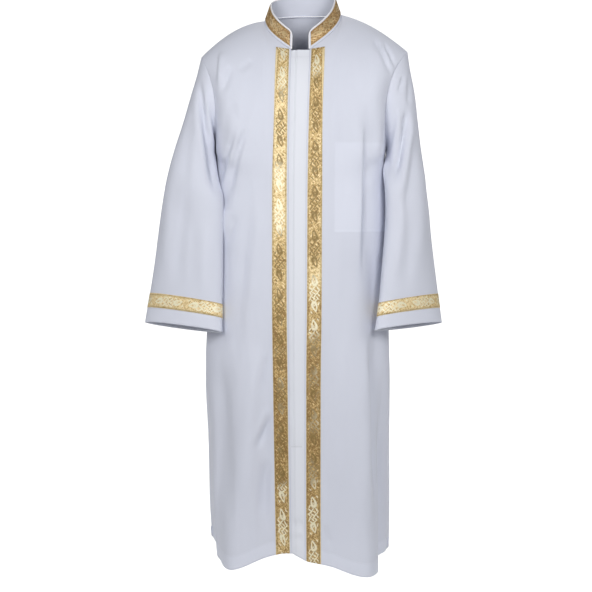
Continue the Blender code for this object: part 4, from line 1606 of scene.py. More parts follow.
@dataclass(frozen=True)
class Stretch:
    """How the satin catches the light at a distance along the braid.

    gold is the ground's brightness and figure that of the motifs: 0 is dark and 1 is pale.
    """

    along: float
    gold: float
    figure: float


EVENLY_BRIGHT = (Stretch(0.0, 0.88, 1.0), Stretch(1.0, 0.88, 1.0))
IN_SHADE = (Stretch(0.0, 0.52, 0.60), Stretch(0.28, 0.42, 0.40), Stretch(0.60, 0.56, 0.72))
RIGHT_FRONT_LIGHT = (
    Stretch(0.00, 0.70, 0.88),
    Stretch(0.10, 0.74, 0.66),
    Stretch(0.15, 0.84, 0.24),
    Stretch(0.29, 0.88, 0.20),
    Stretch(0.33, 0.94, 0.92),
    Stretch(0.45, 0.88, 0.96),
    Stretch(0.50, 0.70, 0.20),
    Stretch(0.64, 0.48, 0.16),
    Stretch(0.74, 0.34, 0.30),
    Stretch(0.92, 0.26, 0.34),
    Stretch(1.08, 0.30, 0.30),
    Stretch(1.12, 0.44, 0.98),
    Stretch(1.24, 0.50, 1.00),
)
LEFT_FRONT_LIGHT = (
    Stretch(0.00, 0.54, 0.92),
    Stretch(0.06, 0.60, 0.80),
    Stretch(0.10, 0.50, 0.04),
    Stretch(0.30, 0.62, 0.02),
    Stretch(0.52, 0.60, 0.06),
    Stretch(0.57, 0.88, 0.50),
    Stretch(0.63, 0.50, 0.94),
    Stretch(0.69, 0.46, 0.90),
    Stretch(0.74, 0.36, 0.36),
    Stretch(0.80, 0.28, 0.44),
    Stretch(0.90, 0.28, 0.34),
    Stretch(1.08, 0.32, 0.40),
    Stretch(1.13, 0.36, 0.92),
    Stretch(1.24, 0.40, 0.96),
)


@dataclass(frozen=True)
class GoldBraid:
    """A woven gold ribbon with a repeat of drops and sprigs between dotted borders, and sheen painted into
    its colour along its length.
    """

    name: str
    width: float
    start: float
    seed: float
    light: tuple[Stretch, ...]
    mirrored: bool = False
    deep: tuple[float, float, float] = (0.290, 0.168, 0.056)
    mid: tuple[float, float, float] = (0.640, 0.438, 0.168)
    bright: tuple[float, float, float] = (1.000, 0.825, 0.490)
    dark: tuple[float, float, float] = (0.255, 0.168, 0.052)
    pale: tuple[float, float, float] = (1.000, 0.940, 0.710)
    thread_pitch: float = 0.0011
    satin_pitch: float = 0.0027
    dot_pitch: float = 0.0042
    dot_line: float = 0.0042
    thread_scale: tuple[float, float] = (330.0, 85.0)
    border_line: float = 0.0022
    stray: float = 0.0022
    sheen_clouds: float = 0.48
    flecks: float = 0.70
    strokes: float = 2.70
    graininess: float = 0.90

    @staticmethod
    def _leaf(across: Signal, along: Signal, motif: Motif) -> Signal:
        """Measure a motif.

        Args:
            across: How far across the braid a point lies.
            along: How far along the repeat it lies.
            motif: The motif.

        Returns:
            0 at the motif's middle and 1 at its edge.
        """
        angle = math.radians(motif.tilt)
        a, b = along - motif.along, across - motif.across
        lengthwise = (a * math.cos(angle) + b * math.sin(angle)) * (2 / motif.length)
        sideways = (b * math.cos(angle) - a * math.sin(angle)) * (2 / motif.width)
        narrowed = sideways / (1.0 + lengthwise.both(1.2).either(-1.2) * motif.taper)
        return lengthwise * lengthwise + narrowed * narrowed

    def _figures(self, across: Signal, along: Signal, stray: Signal) -> Signal:
        """Draw the motifs.

        Args:
            across: How far across the braid a point lies.
            along: How far along the repeat it lies.
            stray: How far the sprig's leaves stray further.

        Returns:
            1 on the motifs and 0 on the ground.
        """
        total = None
        for drop, slit, core in zip(DROPS, SLITS, CORES, strict=True):
            outer, inner, dot = (
                1.0 - self._leaf(across, along, motif).rise(0.75, 1.20) for motif in (drop, slit, core)
            )
            figure = (outer * (1.0 - inner)).either(dot)
            total = figure if total is None else total.either(figure)
        across, along = across + stray, along - stray
        for motif in SPRIG:
            total = total.either(1.0 - self._leaf(across, along, motif).rise(0.70, 1.30))
        return total

    def _along_light(self, nodes: NodeSheet, up: Signal, name: str) -> Signal:
        """Read a column of the table of stretches along the braid.

        Args:
            nodes: The material's nodes.
            up: How far along the braid a point lies.
            name: The column.

        Returns:
            The column's value there.
        """
        longest = self.light[-1].along
        stops = tuple((row.along / longest, (getattr(row, name),) * 3) for row in self.light)
        return nodes.node("ShaderNodeValToRGB", {"stops": stops}, {0: up * (1.0 / longest)}, "Color")

    def _ground(self, nodes: NodeSheet, across: Signal, up: Signal, sheen_cloud: Signal, grain: Signal) -> Signal:
        """Colour the ground of short slanting threads.

        Args:
            nodes: The material's nodes.
            across: How far across the braid a point lies.
            up: How far along it lies.
            sheen_cloud: A slow noise of painted sheen.
            grain: A fine noise.

        Returns:
            The colour.
        """
        seed = self.seed
        thin, long = self.thread_scale
        falling = nodes.noise(nodes.vector((across - up) * thin, (across + up) * long, seed), 1.0, 1.0)
        rising = nodes.noise(nodes.vector((across + up) * thin, (across - up) * long, seed + 3.0), 1.0, 1.0)
        fleck = nodes.noise(nodes.vector(across * 210.0, up * 190.0, seed + 7.0), 1.0, 3.0)
        # The table's painted sheen and the slow noise of painted sheen set how bright the ground is, with the
        # slanting threads, flecks and grain of the weave.
        gold = self._along_light(nodes, up, "gold") + (falling.either(rising) - 0.58) * self.strokes
        for noise, gain in ((sheen_cloud, self.sheen_clouds), (fleck, self.flecks), (grain, self.graininess)):
            gold = gold + (noise - 0.5) * gain
        gold = gold + (up + across * 0.9).wave(self.satin_pitch) * 0.05
        ground = nodes.mix(gold.rise(-0.05, 0.62), self.deep, self.mid)
        return nodes.mix(gold.rise(0.42, 1.10), ground, self.bright)

    def material(self) -> bpy.types.Material:
        """Make the finish.

        Returns:
            The material.
        """
        nodes = NodeSheet(self.name)
        across, up = nodes.cut()
        across = across * (BRAID_WIDTH / self.width)
        if self.mirrored:
            across = BRAID_WIDTH - across
        seed = self.seed
        wobble = (nodes.noise(nodes.vector(across * 90.0, up * 90.0, seed), 1.0) - 0.5) * self.stray
        figure = self._figures(across + wobble, (up + wobble + self.start).modulo(REPEAT), wobble * 0.9)
        aside = across.both(BRAID_WIDTH - across)
        selvedge = 1.0 - aside.rise(0.0006, 0.0014)
        line = aside.near(self.border_line, 0.0010)
        dots = aside.near(self.dot_line, 0.0014) * up.wave(self.dot_pitch).rise(-0.2, 0.4)
        slanted = nodes.vector(across * 420.0 + up * 240.0, up * 300.0 - across * 160.0, seed)
        grain = nodes.noise(slanted, 1.0, 3.0)
        # A slow noise of painted sheen: some stretches of the braid lighter and others darker.
        sheen_cloud = nodes.noise(nodes.vector(across * 26.0, up * 15.0, seed), 1.0, 2.0)
        # How pale the motifs are: painted sheen from the table and the slow noise; dark motifs stand for
        # unlit thread and pale ones for lit thread.
        painted_sheen = (self._along_light(nodes, up, "figure") + (sheen_cloud - 0.5) * 0.8).rise(0.30, 0.75)
        tint = nodes.shade(nodes.mix(painted_sheen, self.dark, self.pale), 0.82 + grain * 0.36)
        colour = nodes.mix(figure * 0.86, self._ground(nodes, across, up, sheen_cloud, grain), tint)
        colour = nodes.mix(line.either(dots * 0.8) * 0.80, colour, self.dark)
        colour = nodes.mix(selvedge * 0.7, colour, self.bright)
        threads = (up.wave(self.thread_pitch) + (up + across * 0.9).wave(self.satin_pitch)) * 0.00003
        height = figure * 0.00016 - line * 0.00010 + threads + grain * 0.00014
        varied = {
            "Base Color": colour,
            "Roughness": 0.46 + grain * 0.14 - painted_sheen * figure * 0.10,
            "Metallic": 0.22 + figure * painted_sheen * 0.10,
            "Normal": nodes.relief(height, 0.9),
        }
        return nodes.finished(varied, {"Sheen Weight": 0.05, "Specular IOR Level": 0.5})


@dataclass(frozen=True)
class SatinPiping:
    """White satin round a cord."""

    name: str

    def material(self) -> bpy.types.Material:
        """Make the finish.

        Returns:
            The material.
        """
        nodes = NodeSheet(self.name)
        place = nodes.place()
        x, y, z = nodes.parts(place)
        twill = (x + y + z * 1.4).wave(TWILL_PITCH)
        mottle = nodes.noise(place, 60.0)
        varied = {
            "Base Color": nodes.shade((0.97, 0.955, 0.965), 0.95 + mottle * 0.06 + twill * 0.02),
            "Roughness": 0.40 + mottle * 0.12,
            "Normal": nodes.relief(twill * 0.00005, 0.8),
        }
        return nodes.finished(varied, {"Sheen Weight": 0.1, "Coat Weight": 0.08, "Coat Roughness": 0.3})


def armhole_row_points(side: Side, rows: np.ndarray, back: bool) -> np.ndarray:
    """Find the armhole's exact points at a panel's fine rows; rows below the yoke stay at its start."""
    share = yoke_share(np.clip(rows - (SKIRT_ROWS - 1), 0.0, YOKE_ROWS) / YOKE_ROWS)
    return armhole_points(side, 180.0 + 180.0 * share if back else 180.0 * (1.0 - share))


ROWS = finely([8] * (SKIRT_ROWS - 1) + [7] * YOKE_ROWS, near_ends=(0.05, 0.02))
NEAR_TOP = smooth_step(1.0 - (ROWS[-1] - ROWS) / 2.0)
IN_YOKE = ROWS > SKIRT_ROWS - 1
HEM_ROWS = (1, 3, 5)


@dataclass
class FrontPanel:
    """A front, with the gold braid along its edge."""

    side: Side
    cut: Cut
    braid_cut: Cut
    loose: LooseFolds
    columns: np.ndarray = field(default_factory=lambda: finely([3, 5, 5] + [9] * 9, near_ends=(0.07, 0.03)))
    cloth: Cloth | None = None

    def coarse(self) -> np.ndarray:
        """Lay the coarse grid, as in the solid.

        Returns:
            Its points, from the hem up.
        """
        side = self.side
        skirt = skirt_grid(lambda height: front_girths(side, height))
        low = skirt[-1]
        high = self.top_line(np.arange(4 + FRONT_NECK_COLUMNS + SHOULDER_COLUMNS))

        def edge(t: float) -> np.ndarray:
            """Follow the front's edge up the yoke.

            Args:
                t: How far up, from 0 to 1.

            Returns:
                A point.
            """
            height = low[0][2] + (high[0][2] - low[0][2]) * t
            to_neck = (high[0][1] + SECTION_LINES["front"](NECK_FRONT_HEIGHT)) * t**4
            return np.array([
                EDGE_LINES[side.wearer](height), to_neck - SECTION_LINES["front"](height), height
            ])

        def armhole(t: float) -> np.ndarray:
            """Follow the armhole up."""
            return armhole_points(side, 180.0 * (1.0 - t))

        return np.vstack([skirt, yoke_grid(low, high, edge, armhole)])

    def top_line(self, columns: np.ndarray) -> np.ndarray:
        """Find the exact neck and shoulder seam.

        Args:
            columns: Places, counted in coarse columns.

        Returns:
            A point for each.
        """
        neck = neck_line(self.side, back=False)[::-1]
        in_plan = arc_lengths(neck * [1.0, 1.0, 0.0])
        braid = np.array([0.0, BRAID_INSET, BRAID_INSET + BRAID_WIDTH / 2, BRAID_INSET + BRAID_WIDTH])
        at_braid = np.interp(braid, in_plan, arc_lengths(neck))
        past = np.linspace(at_braid[-1], arc_lengths(neck)[-1], FRONT_NECK_COLUMNS + 1)[1:]
        at_neck = np.concatenate([at_braid, past])
        corner = len(at_neck) - 1
        on_neck = spread_on(neck, np.interp(columns, np.arange(corner + 1), at_neck))
        shoulder = shoulder_line(self.side)
        share = np.clip(columns - corner, 0.0, None) / SHOULDER_COLUMNS
        on_shoulder = spread_on(shoulder, share * arc_lengths(shoulder)[-1])
        return np.where((columns <= corner)[:, None], on_neck, on_shoulder)

    def shape(self) -> None:
        """Lay the fine grid with its folds and creases."""
        columns = self.columns
        points = refined(self.coarse(), ROWS, columns)
        points = kept_to(points, self.top_line(columns), Edge.TOP, NEAR_TOP)
        armhole = np.where(IN_YOKE[:, None], armhole_row_points(self.side, ROWS, False), points[:, -1])
        near_side = smooth_step(1.0 - (columns[-1] - columns) / EDGE_EASE)
        points = kept_to(points, armhole, Edge.LAST, near_side)
        coarse_girths = front_girths(self.side, YOKE_CENTRE_HEIGHT)
        girths = np.interp(columns, np.arange(len(coarse_girths)), coarse_girths)
        points = folded(points, girths, ROWS, columns, {len(columns) - 1: self.side})
        cut = cut_of(points)
        past_braid = smooth_step((cut[..., 0] - BRAID_HOLD_START) / BRAID_HOLD_FADE)
        free = free_from(cut) * (BRAID_HOLD + (1.0 - BRAID_HOLD) * past_braid)
        creases = [*FRONT_CREASES[self.side.wearer], *self.loose.creases()]
        self.cloth = Cloth.of(creased(points, creases, -1, free))

    def band_cloth(self) -> Cloth:
        """Take the band's stretch of the panel, with its top cut level below the neck seam.

        Returns:
            The band, just outside the panel.
        """
        first, last = (int(np.searchsorted(self.columns, place - TINY)) for place in (1, 3))
        points = self.cloth.part(slice(None), slice(first, last + 1)).points
        across = np.linspace(0.0, 1.0, points.shape[1])
        level = points[-1, 0, 2] - BAND_TOP_DROP + BAND_TOP_RISE * across
        kept = int(np.argmax((points[..., 2] > level - BAND_TOP_SLACK).any(axis=1)))
        tops = []
        for column, height in enumerate(level):
            line = points[kept - 1 :, column]
            end = np.interp(height, line[:, 2], arc_lengths(line))
            tops.append(spread_on(line, np.linspace(0.0, end, BAND_TOP_ROWS + 1)[1:]))
        band = Cloth.of(np.concatenate([points[:kept], np.stack(tops, axis=1)])).moved(LAYER_GAP)
        band.cut[..., 1] = band.cut[-1:, :, 1] - band.cut[..., 1]
        return band

    def build(self, finish: WhiteCloth, braid: GoldBraid) -> None:
        """Make the panel and its braid.

        Args:
            finish: The panel's finish.
            braid: The braid's finish.
        """
        name = self.side.wearer.value
        panel = self.cloth.hemmed(Edge.BOTTOM, HEM_ROWS).seamed(Edge.LAST, Edge.TOP)
        piece = shell(f"front_{name}_cloth", panel, CLOTH_WALL, finish.material())
        dress(piece, f"front_{name}", self.cut)
        piece = shell(f"band_{name}_braid", self.band_cloth(), BRAID_WALL, braid.material(), outwards=True)
        dress(piece, f"band_{name}", self.braid_cut)


@dataclass
class BackPanel:
    """The back, in one piece."""

    cut: Cut
    loose: LooseFolds
    columns: np.ndarray = field(default_factory=lambda: finely([7] * 26))

    def coarse(self) -> np.ndarray:
        """Lay the coarse grid, as in the solid.

        Returns:
            Its points, from the hem up.
        """
        girths = back_girths()
        skirt = skirt_grid(lambda height: girths)
        middle = len(girths) // 2
        top = self.top_line(np.arange(len(girths)))
        halves = {}
        for side, low, high in (
            (RIGHT, skirt[-1, : middle + 1], top[: middle + 1]),
            (LEFT, skirt[-1, middle:][::-1], top[middle:][::-1]),
        ):
            def armhole(t: float, side: Side = side) -> np.ndarray:
                """Follow the armhole up."""
                return armhole_points(side, 180.0 + 180.0 * t)

            def centre(t: float, low: np.ndarray = low) -> np.ndarray:
                """Follow the centre back up.

                Args:
                    t: How far up, from 0 to 1.
                    low: The row that it starts from.

                Returns:
                    A point.
                """
                height = low[-1][2] + (NAPE_HEIGHT - low[-1][2]) * t
                x = low[-1][0] * (1.0 - smooth_step(t))
                return np.array([x, CENTRE_BACK_LINE(height), height])

            halves[side.wearer] = yoke_grid(low, high, armhole, centre)
        left = halves[Wearer.LEFT][:, :-1][:, ::-1]
        return np.vstack([skirt, np.concatenate([halves[Wearer.RIGHT], left], axis=1)])

    def top_line(self, columns: np.ndarray) -> np.ndarray:
        """Find the exact shoulder and neck seam.

        Args:
            columns: Places, counted in coarse columns.

        Returns:
            A point for each.
        """
        middle = SHOULDER_COLUMNS + BACK_NECK_COLUMNS
        lines = {}
        for side in SIDES:
            place = columns if side is RIGHT else 2 * middle - columns
            shoulder, neck = shoulder_line(side)[::-1], neck_line(side, back=True)
            on_shoulder = spread_on(shoulder, place / SHOULDER_COLUMNS * arc_lengths(shoulder)[-1])
            share = np.clip(place - SHOULDER_COLUMNS, 0.0, None) / BACK_NECK_COLUMNS
            on_neck = spread_on(neck, share * arc_lengths(neck)[-1])
            lines[side.wearer] = np.where((place <= SHOULDER_COLUMNS)[:, None], on_shoulder, on_neck)
        return np.where((columns <= middle)[:, None], lines[Wearer.RIGHT], lines[Wearer.LEFT])

    def build(self, finish: WhiteCloth) -> None:
        """Lay the fine grid with its folds and creases, and make the panel.

        Args:
            finish: The panel's finish.
        """
        columns = self.columns
        points = refined(self.coarse(), ROWS, columns)
        points = kept_to(points, self.top_line(columns), Edge.TOP, NEAR_TOP)
        for side, edge, column in ((RIGHT, Edge.FIRST, 0), (LEFT, Edge.LAST, -1)):
            line = np.where(IN_YOKE[:, None], armhole_row_points(side, ROWS, True), points[:, column])
            near_side = smooth_step(1.0 - np.abs(columns - columns[column]) / EDGE_EASE)
            points = kept_to(points, line, edge, near_side)
        girths = np.interp(columns, np.arange(len(back_girths())), back_girths())
        points = folded(points, girths, ROWS, columns, {0: RIGHT, len(columns) - 1: LEFT})
        free = free_from(cut_of(points), first=True)
        cloth = Cloth.of(creased(points, [*BACK_CREASES, *self.loose.creases()], 1, free))
        panel = cloth.hemmed(Edge.BOTTOM, HEM_ROWS).seamed(Edge.FIRST, Edge.LAST, Edge.TOP)
        piece = shell("back_cloth", panel, CLOTH_WALL, finish.material())
        dress(piece, "back", self.cut)


@dataclass(frozen=True)
class Swell:
    """A share of 1 along the middle of a sleeve, which rises to it from 0 and then fades."""

    risen: float
    fades_at: float
    fade: float

    def at(self, along: float) -> float:
        """Give the share at a place along the sleeve."""
        faded = smooth_step((along - self.fades_at) / self.fade)
        return float(smooth_step(along / self.risen) * (1.0 - faded))


@dataclass
class Sleeve:
    """A sleeve, with the gold braid round its cuff."""

    side: Side
    cut: Cut
    braid_cut: Cut
    loose: LooseFolds
    drawn_in: float
    rings: int = 112
    points_a_ring: int = 132
    smoothing_passes: int = 6
    near_body: Swell = Swell(0.25, 0.62, 0.33)
    under_arm: Swell = Swell(0.14, 0.30, 0.30)
    seam_hold: float = 0.03
    cuff_hold: float = 0.35
    cuff_fade: float = 0.08

    def armhole_angles(self) -> np.ndarray:
        """Give the angles of a ring's points.

        Returns:
            Degrees, from the seam under the arm round the back.
        """
        turn = np.arange(self.points_a_ring) / self.points_a_ring * 2.0
        share = yoke_share(np.where(turn <= 1.0, turn, 2.0 - turn))
        return np.where(turn <= 1.0, 180.0 + 180.0 * share, 180.0 * (1.0 - share))

    def ring(self, along: float, angles: np.ndarray) -> np.ndarray:
        """Lay a ring of points.

        Args:
            along: The share of the sleeve's length.
            angles: The angle of each point.

        Returns:
            The ring, clear of the body.
        """
        side = self.side
        rows = SLEEVE_SECTIONS[side.wearer]
        at = {item.name: float(SmoothLine(rows, "along", item.name)(along)) for item in fields(SleeveSection)}
        turn, slope, pitch = (math.radians(at[name]) for name in ("turn", "slope", "pitch"))
        across = np.array([
            side.sign * math.cos(slope) * math.cos(turn), math.cos(slope) * math.sin(turn), math.sin(slope)
        ])
        deep = np.array([
            side.sign * math.sin(turn) * math.cos(pitch), -math.cos(turn) * math.cos(pitch), math.sin(pitch)
        ])
        a = np.radians(angles)
        on_ring = (
            np.array([at["x"], at["y"], at["z"]])
            + across * at["half_width"] * np.cos(a)[:, None]
            + deep * at["half_depth"] * np.sin(a)[:, None]
        )
        inwards = (1.0 - np.cos(a)) / 2
        on_ring[:, 0] -= side.sign * self.drawn_in * self.near_body.at(along) * inwards
        on_ring[:, 1] -= SLEEVE_FORWARD * self.under_arm.at(along) * inwards
        from_armhole = 1.0 - float(smooth_step(along / ARMHOLE_REACH))
        points = armhole_points(side, angles) * from_armhole + on_ring * (1.0 - from_armhole)
        clearance = self.clearance(along)
        loft = SLEEVE_LOFT * (0.5 + 0.5 * np.sin(a))
        return self.clear_of_body(points, clearance * (SLEEVE_CLEARANCE + loft)) if clearance else points

    @staticmethod
    def clearance(along: float) -> float:
        """Give the share of the full gap to the body.

        Args:
            along: The share of the sleeve's length.

        Returns:
            0 at the armhole, little under the arm and 1 below it.
        """
        below_arm = smooth_step((along - BELOW_ARM) / BELOW_ARM_FADE)
        share = CLEARANCE_UNDER_ARM + (1.0 - CLEARANCE_UNDER_ARM) * below_arm
        return float(smooth_step(along / CLEARANCE_REACH) * share)

    @staticmethod
    def clear_of_body(points: np.ndarray, gap: np.ndarray) -> np.ndarray:
        """Move points away from the body's axis where they are too near to the body.

        Args:
            points: The points.
            gap: How far each stays off.

        Returns:
            The moved points.
        """
        low, high = SECTION_LINES["x_right"](points[:, 2]), SECTION_LINES["x_left"](points[:, 2])
        front, back = SECTION_LINES["front"](points[:, 2]), SECTION_LINES["back"](points[:, 2])
        centre = np.stack([(low + high) / 2, np.zeros_like(low)], axis=1)
        away = points[:, :2] - centre
        half_width = (high - low) / 2 + gap
        depth = np.where(points[:, 1] > 0, back, front) + gap
        level = (np.abs(away[:, 0]) / half_width) ** SQUARENESS + (np.abs(away[:, 1]) / depth) ** SQUARENESS
        scale = np.where(level < 1.0, np.maximum(level, TINY) ** (-1.0 / SQUARENESS), 1.0)
        moved = points.copy()
        moved[:, :2] = centre + away * scale[:, None]
        return moved

    def build(self, finish: WhiteCloth, braid: GoldBraid) -> None:
        """Make the sleeve and its braid.

        Args:
            finish: The sleeve's finish.
            braid: The braid's finish.
        """
        wearer = self.side.wearer
        name = wearer.value
        angles = self.armhole_angles()
        hem, band = CUFF_MARGIN / SLEEVE_LENGTH, CUFF_BRAID_WIDTH / SLEEVE_LENGTH
        band_top, band_end = 1.0 - hem - band, 1.0 - hem
        upper = np.linspace(0.0, band_top, self.rings - BAND_RINGS - MARGIN_RINGS)
        on_band = band_top + band * np.arange(1, BAND_RINGS + 1) / BAND_RINGS
        on_margin = band_end + hem * np.arange(1, MARGIN_RINGS + 1) / MARGIN_RINGS
        places = np.concatenate([upper, on_band, on_margin])
        points = np.array([self.ring(along, angles) for along in places])
        for _ in range(self.smoothing_passes):
            around = (np.roll(points, 1, axis=1) + np.roll(points, -1, axis=1)) / 2
            points[1:-1] = points[1:-1] * 0.5 + around[1:-1] * 0.25 + (points[:-2] + points[2:]) * 0.125
        for ring, along in zip(points, places):
            ring[:] = self.clear_of_body(ring, SLEEVE_REST * self.clearance(along))
        free = np.repeat(smooth_step(places / self.seam_hold)[:, None], len(angles), axis=1)
        above_cuff = smooth_step((band_end - band / 2 - places) / self.cuff_fade)
        free = free * (self.cuff_hold + (1.0 - self.cuff_hold) * above_cuff)[:, None]
        points = creased(points, [*SLEEVE_CREASES[wearer], *self.loose.creases()], -1, free, ring=True)
        points = creased(points, SLEEVE_BACK_CREASES[wearer], 1, free, ring=True)
        tube = Cloth.of(points, ring=True)
        tube.cut[..., 1] = tube.cut[-1:, :, 1] - tube.cut[..., 1]
        sewn = tube.hemmed(Edge.TOP, CUFF_HEM_ROWS).seamed(Edge.BOTTOM)
        piece = shell(f"sleeve_{name}_cloth", sewn, CLOTH_WALL, finish.material(), ring=True)
        dress(piece, f"sleeve_{name}", self.cut)
        cuff = tube.part(slice(len(upper) - 1, len(upper) + BAND_RINGS), slice(None)).moved(LAYER_GAP)
        cuff.cut = np.stack([
            cuff.cut[..., 1] - cuff.cut[-1:, :, 1],
            np.repeat(cuff.cut[-1:, :, 0], len(cuff.cut), axis=0),
        ], axis=-1)
        piece = shell(f"cuff_{name}_braid", cuff, BRAID_WALL, braid.material(), ring=True, outwards=True)
        dress(piece, f"cuff_band_{name}", self.braid_cut)


@dataclass
class Collar:
    """The stand collar, with its braid and piping."""

    cut: Cut
    braid_cut: Cut
    corner: float = 0.011
    second_line: float = 0.002
    braid_lines: int = 13
    braid_inset: float = BRAID_INSET * 0.6
    columns: np.ndarray = field(default_factory=lambda: finely([4, 4, 5] + [6] * 16 + [5, 4, 4]))

    def neck_seam(self, fronts: dict[Wearer, FrontPanel], back: BackPanel) -> np.ndarray:
        """Follow the neck seam from the right front's edge round the back to the left front's.

        Args:
            fronts: The fronts.
            back: The back.

        Returns:
            A point for each column.
        """
        corner = 3 + FRONT_NECK_COLUMNS
        last = 2 * (corner + BACK_NECK_COLUMNS)
        place = self.columns
        right = fronts[Wearer.RIGHT].top_line(np.clip(place, 0.0, corner))
        left = fronts[Wearer.LEFT].top_line(np.clip(last - place, 0.0, corner))
        behind = back.top_line(np.clip(place - corner + SHOULDER_COLUMNS, 0.0, None))
        at_front = np.where((place < last / 2)[:, None], right, left)
        is_front = (place < corner) | (place > last - corner)
        return np.where(is_front[:, None], at_front, behind)

    def build(
        self,
        fronts: dict[Wearer, FrontPanel],
        back: BackPanel,
        finish: WhiteCloth,
        braid: GoldBraid,
        piping: SatinPiping,
    ) -> None:
        """Make the collar, its braid and its piping.

        Args:
            fronts: The fronts that it is sewn to.
            back: The back that it is sewn to.
            finish: The collar's finish.
            braid: The braid's finish.
            piping: The piping's finish.
        """
        base = self.neck_seam(fronts, back)
        inwards = unit(-base * [1.0, 1.0, 0.0])
        to_the_side = (np.abs(base[:, :1]) / NECK_HALF_WIDTH) ** 2
        lean = COLLAR_LEAN_FRONT + (COLLAR_LEAN_SIDE - COLLAR_LEAN_FRONT) * to_the_side
        upwards = unit(np.array([0.0, 0.0, 1.0]) + inwards * lean)
        along = arc_lengths(base)
        from_end = np.minimum(along, along[-1] - along)
        gap = np.clip(self.corner - from_end, 0.0, None)
        drop = self.corner - np.sqrt(self.corner**2 - gap**2)
        braid_rows = np.linspace(COLLAR_LOW_MARGIN, COLLAR_HEIGHT - COLLAR_TOP_MARGIN, self.braid_lines)
        shares = np.array([SEAM_GAP, self.second_line, *braid_rows, COLLAR_HEIGHT]) / COLLAR_HEIGHT
        tall = (COLLAR_HEIGHT - drop)[:, None]
        cloth = Cloth.of(np.array([base + upwards * tall * share for share in shares]))
        piece = shell("collar_cloth", cloth, COLLAR_WALL, finish.material())
        dress(piece, "collar", self.cut)
        inset = int(np.searchsorted(along, self.braid_inset))
        band = cloth.part(slice(2, -1), slice(inset, len(along) - inset)).moved(LAYER_GAP)
        band.cut = band.cut[..., ::-1] - [COLLAR_LOW_MARGIN, 0.0]
        piece = shell("collar_braid", band, BRAID_WALL, braid.material(), outwards=True)
        dress(piece, "collar_band", self.braid_cut)
        self.build_piping(cloth, piping)

    def build_piping(self, cloth: Cloth, piping: SatinPiping) -> None:
        """Run a round cord along the collar's ends and top.

        Args:
            cloth: The collar's grid.
            piping: The piping's finish.
        """
        middle = cloth.points - cloth.away * COLLAR_WALL / 2
        path, away = (
            np.vstack([grid[1:, 0], grid[-1, 1:-1], grid[1:, -1][::-1]]) for grid in (middle, cloth.away)
        )
        out = unit(np.cross(unit(np.gradient(path, axis=0)), away))
        out = out if out[len(out) // 2][2] > 0 else -out
        path = path + out * PIPING_RADIUS * PIPING_SEAT
        bpy.ops.curve.primitive_nurbs_path_add()
        tube = bpy.context.object
        tube.location = (0.0, 0.0, 0.0)
        curve = tube.data
        curve.splines.clear()
        spline = curve.splines.new("POLY")
        spline.points.add(len(path) - 1)
        spline.points.foreach_set("co", np.concatenate([path, np.ones((len(path), 1))], axis=1).reshape(-1))
        curve.bevel_depth = PIPING_RADIUS
        curve.bevel_resolution = 3
        curve.use_fill_caps = True
        select_only(tube)
        bpy.ops.object.convert(target="MESH")
        tube.name = "collar_piping_cord"
        tube.data.materials.clear()
        tube.data.materials.append(piping.material())
        bpy.ops.object.shade_smooth()
        dress(tube, "collar_piping")


@dataclass
class Placket:
    """The strip behind the fronts: an under layer, and an upper flap whose edge is stitched."""

    cut: Cut
    flap_start: float = 0.30
    before_flap: float = 0.01
    past_start: float = 0.02
    under_columns: int = 4
    middle_columns: int = 14
    under_depth: float = 0.0016
    flap_depth: float = 0.0004
    still: float = 0.2

    def build(self, fronts: dict[Wearer, FrontPanel], finish: WhiteCloth) -> None:
        """Make the strip in one sheet, stepped where its upper flap begins.

        Args:
            fronts: The fronts that it runs behind.
            finish: The strip's finish.
        """
        reach = slice(0, int(np.searchsorted(fronts[Wearer.RIGHT].columns, 2 - TINY)) + 1)
        right, left = (fronts[wearer].cloth.part(slice(None), reach).points for wearer in Wearer)
        right = right[:, ::-1]
        step = self.flap_start
        across = np.concatenate([
            np.linspace(0.0, step - self.before_flap, self.under_columns + 1)[1:],
            [step],
            np.linspace(step + self.past_start, 1.0, self.middle_columns)[:-1],
        ])
        start, end = right[:, -1:], left[:, :1]
        grid = np.concatenate([right, start + (end - start) * across[None, :, None], left], axis=1)
        away = outward(grid)
        first_flap = right.shape[1] + self.under_columns
        depth = np.full(grid.shape[1], CLOTH_WALL + self.under_depth)
        depth[first_flap:] = CLOTH_WALL + self.flap_depth
        free = np.zeros(grid.shape[1])
        free[right.shape[1] : -left.shape[1]] = smooth_step(np.minimum(across, 1.0 - across) / self.still)
        height = crease_height(grid, PLACKET_CREASES) * CREASE_GAIN * free - depth
        grid = grid + away * height[..., None]
        grid[-1] += unit(grid[-2] - grid[-1]) * COLLAR_WALL
        cloth = Cloth.of(grid)
        cloth.cut = cloth.cut - cloth.cut[:, first_flap : first_flap + 1] * [1.0, 0.0]
        cloth.cut[..., 1] = cloth.cut[-1:, :, 1] - cloth.cut[..., 1]
        piece = shell("placket_cloth", cloth, CLOTH_WALL, finish.material())
        dress(piece, "placket", self.cut)


@dataclass
class PocketBag:
    """The bag behind the wearer's left front."""

    cut: Cut
    girths: tuple[float, float] = (0.090, 0.235)
    bottom: float = -0.545
    top: float = -0.322

    def build(self, front: FrontPanel, finish: WhiteCloth) -> None:
        """Make the bag.

        Args:
            front: The front that it hangs behind.
            finish: The bag's finish.
        """
        coarse = front_girths(front.side, YOKE_CENTRE_HEIGHT)
        place = np.interp(self.girths, coarse, np.arange(len(coarse)))
        first, last = (int(np.searchsorted(front.columns, p)) for p in place)
        heights = front.cloth.points[:, (first + last) // 2, 2]
        low, high = (int(np.searchsorted(heights, z)) for z in (self.bottom, self.top))
        bag = front.cloth.part(slice(low, high + 1), slice(first, last + 1))
        bag = bag.moved(-(CLOTH_WALL + LAYER_GAP * 2))
        piece = shell("pocket_bag_cloth", bag, CLOTH_WALL, finish.material())
        dress(piece, "pocket_bag", self.cut)


@dataclass(frozen=True)
class Lamp:
    """A round soft light, by its place, its width and its power."""

    name: str
    place: tuple[float, float, float]
    size: float
    power: float


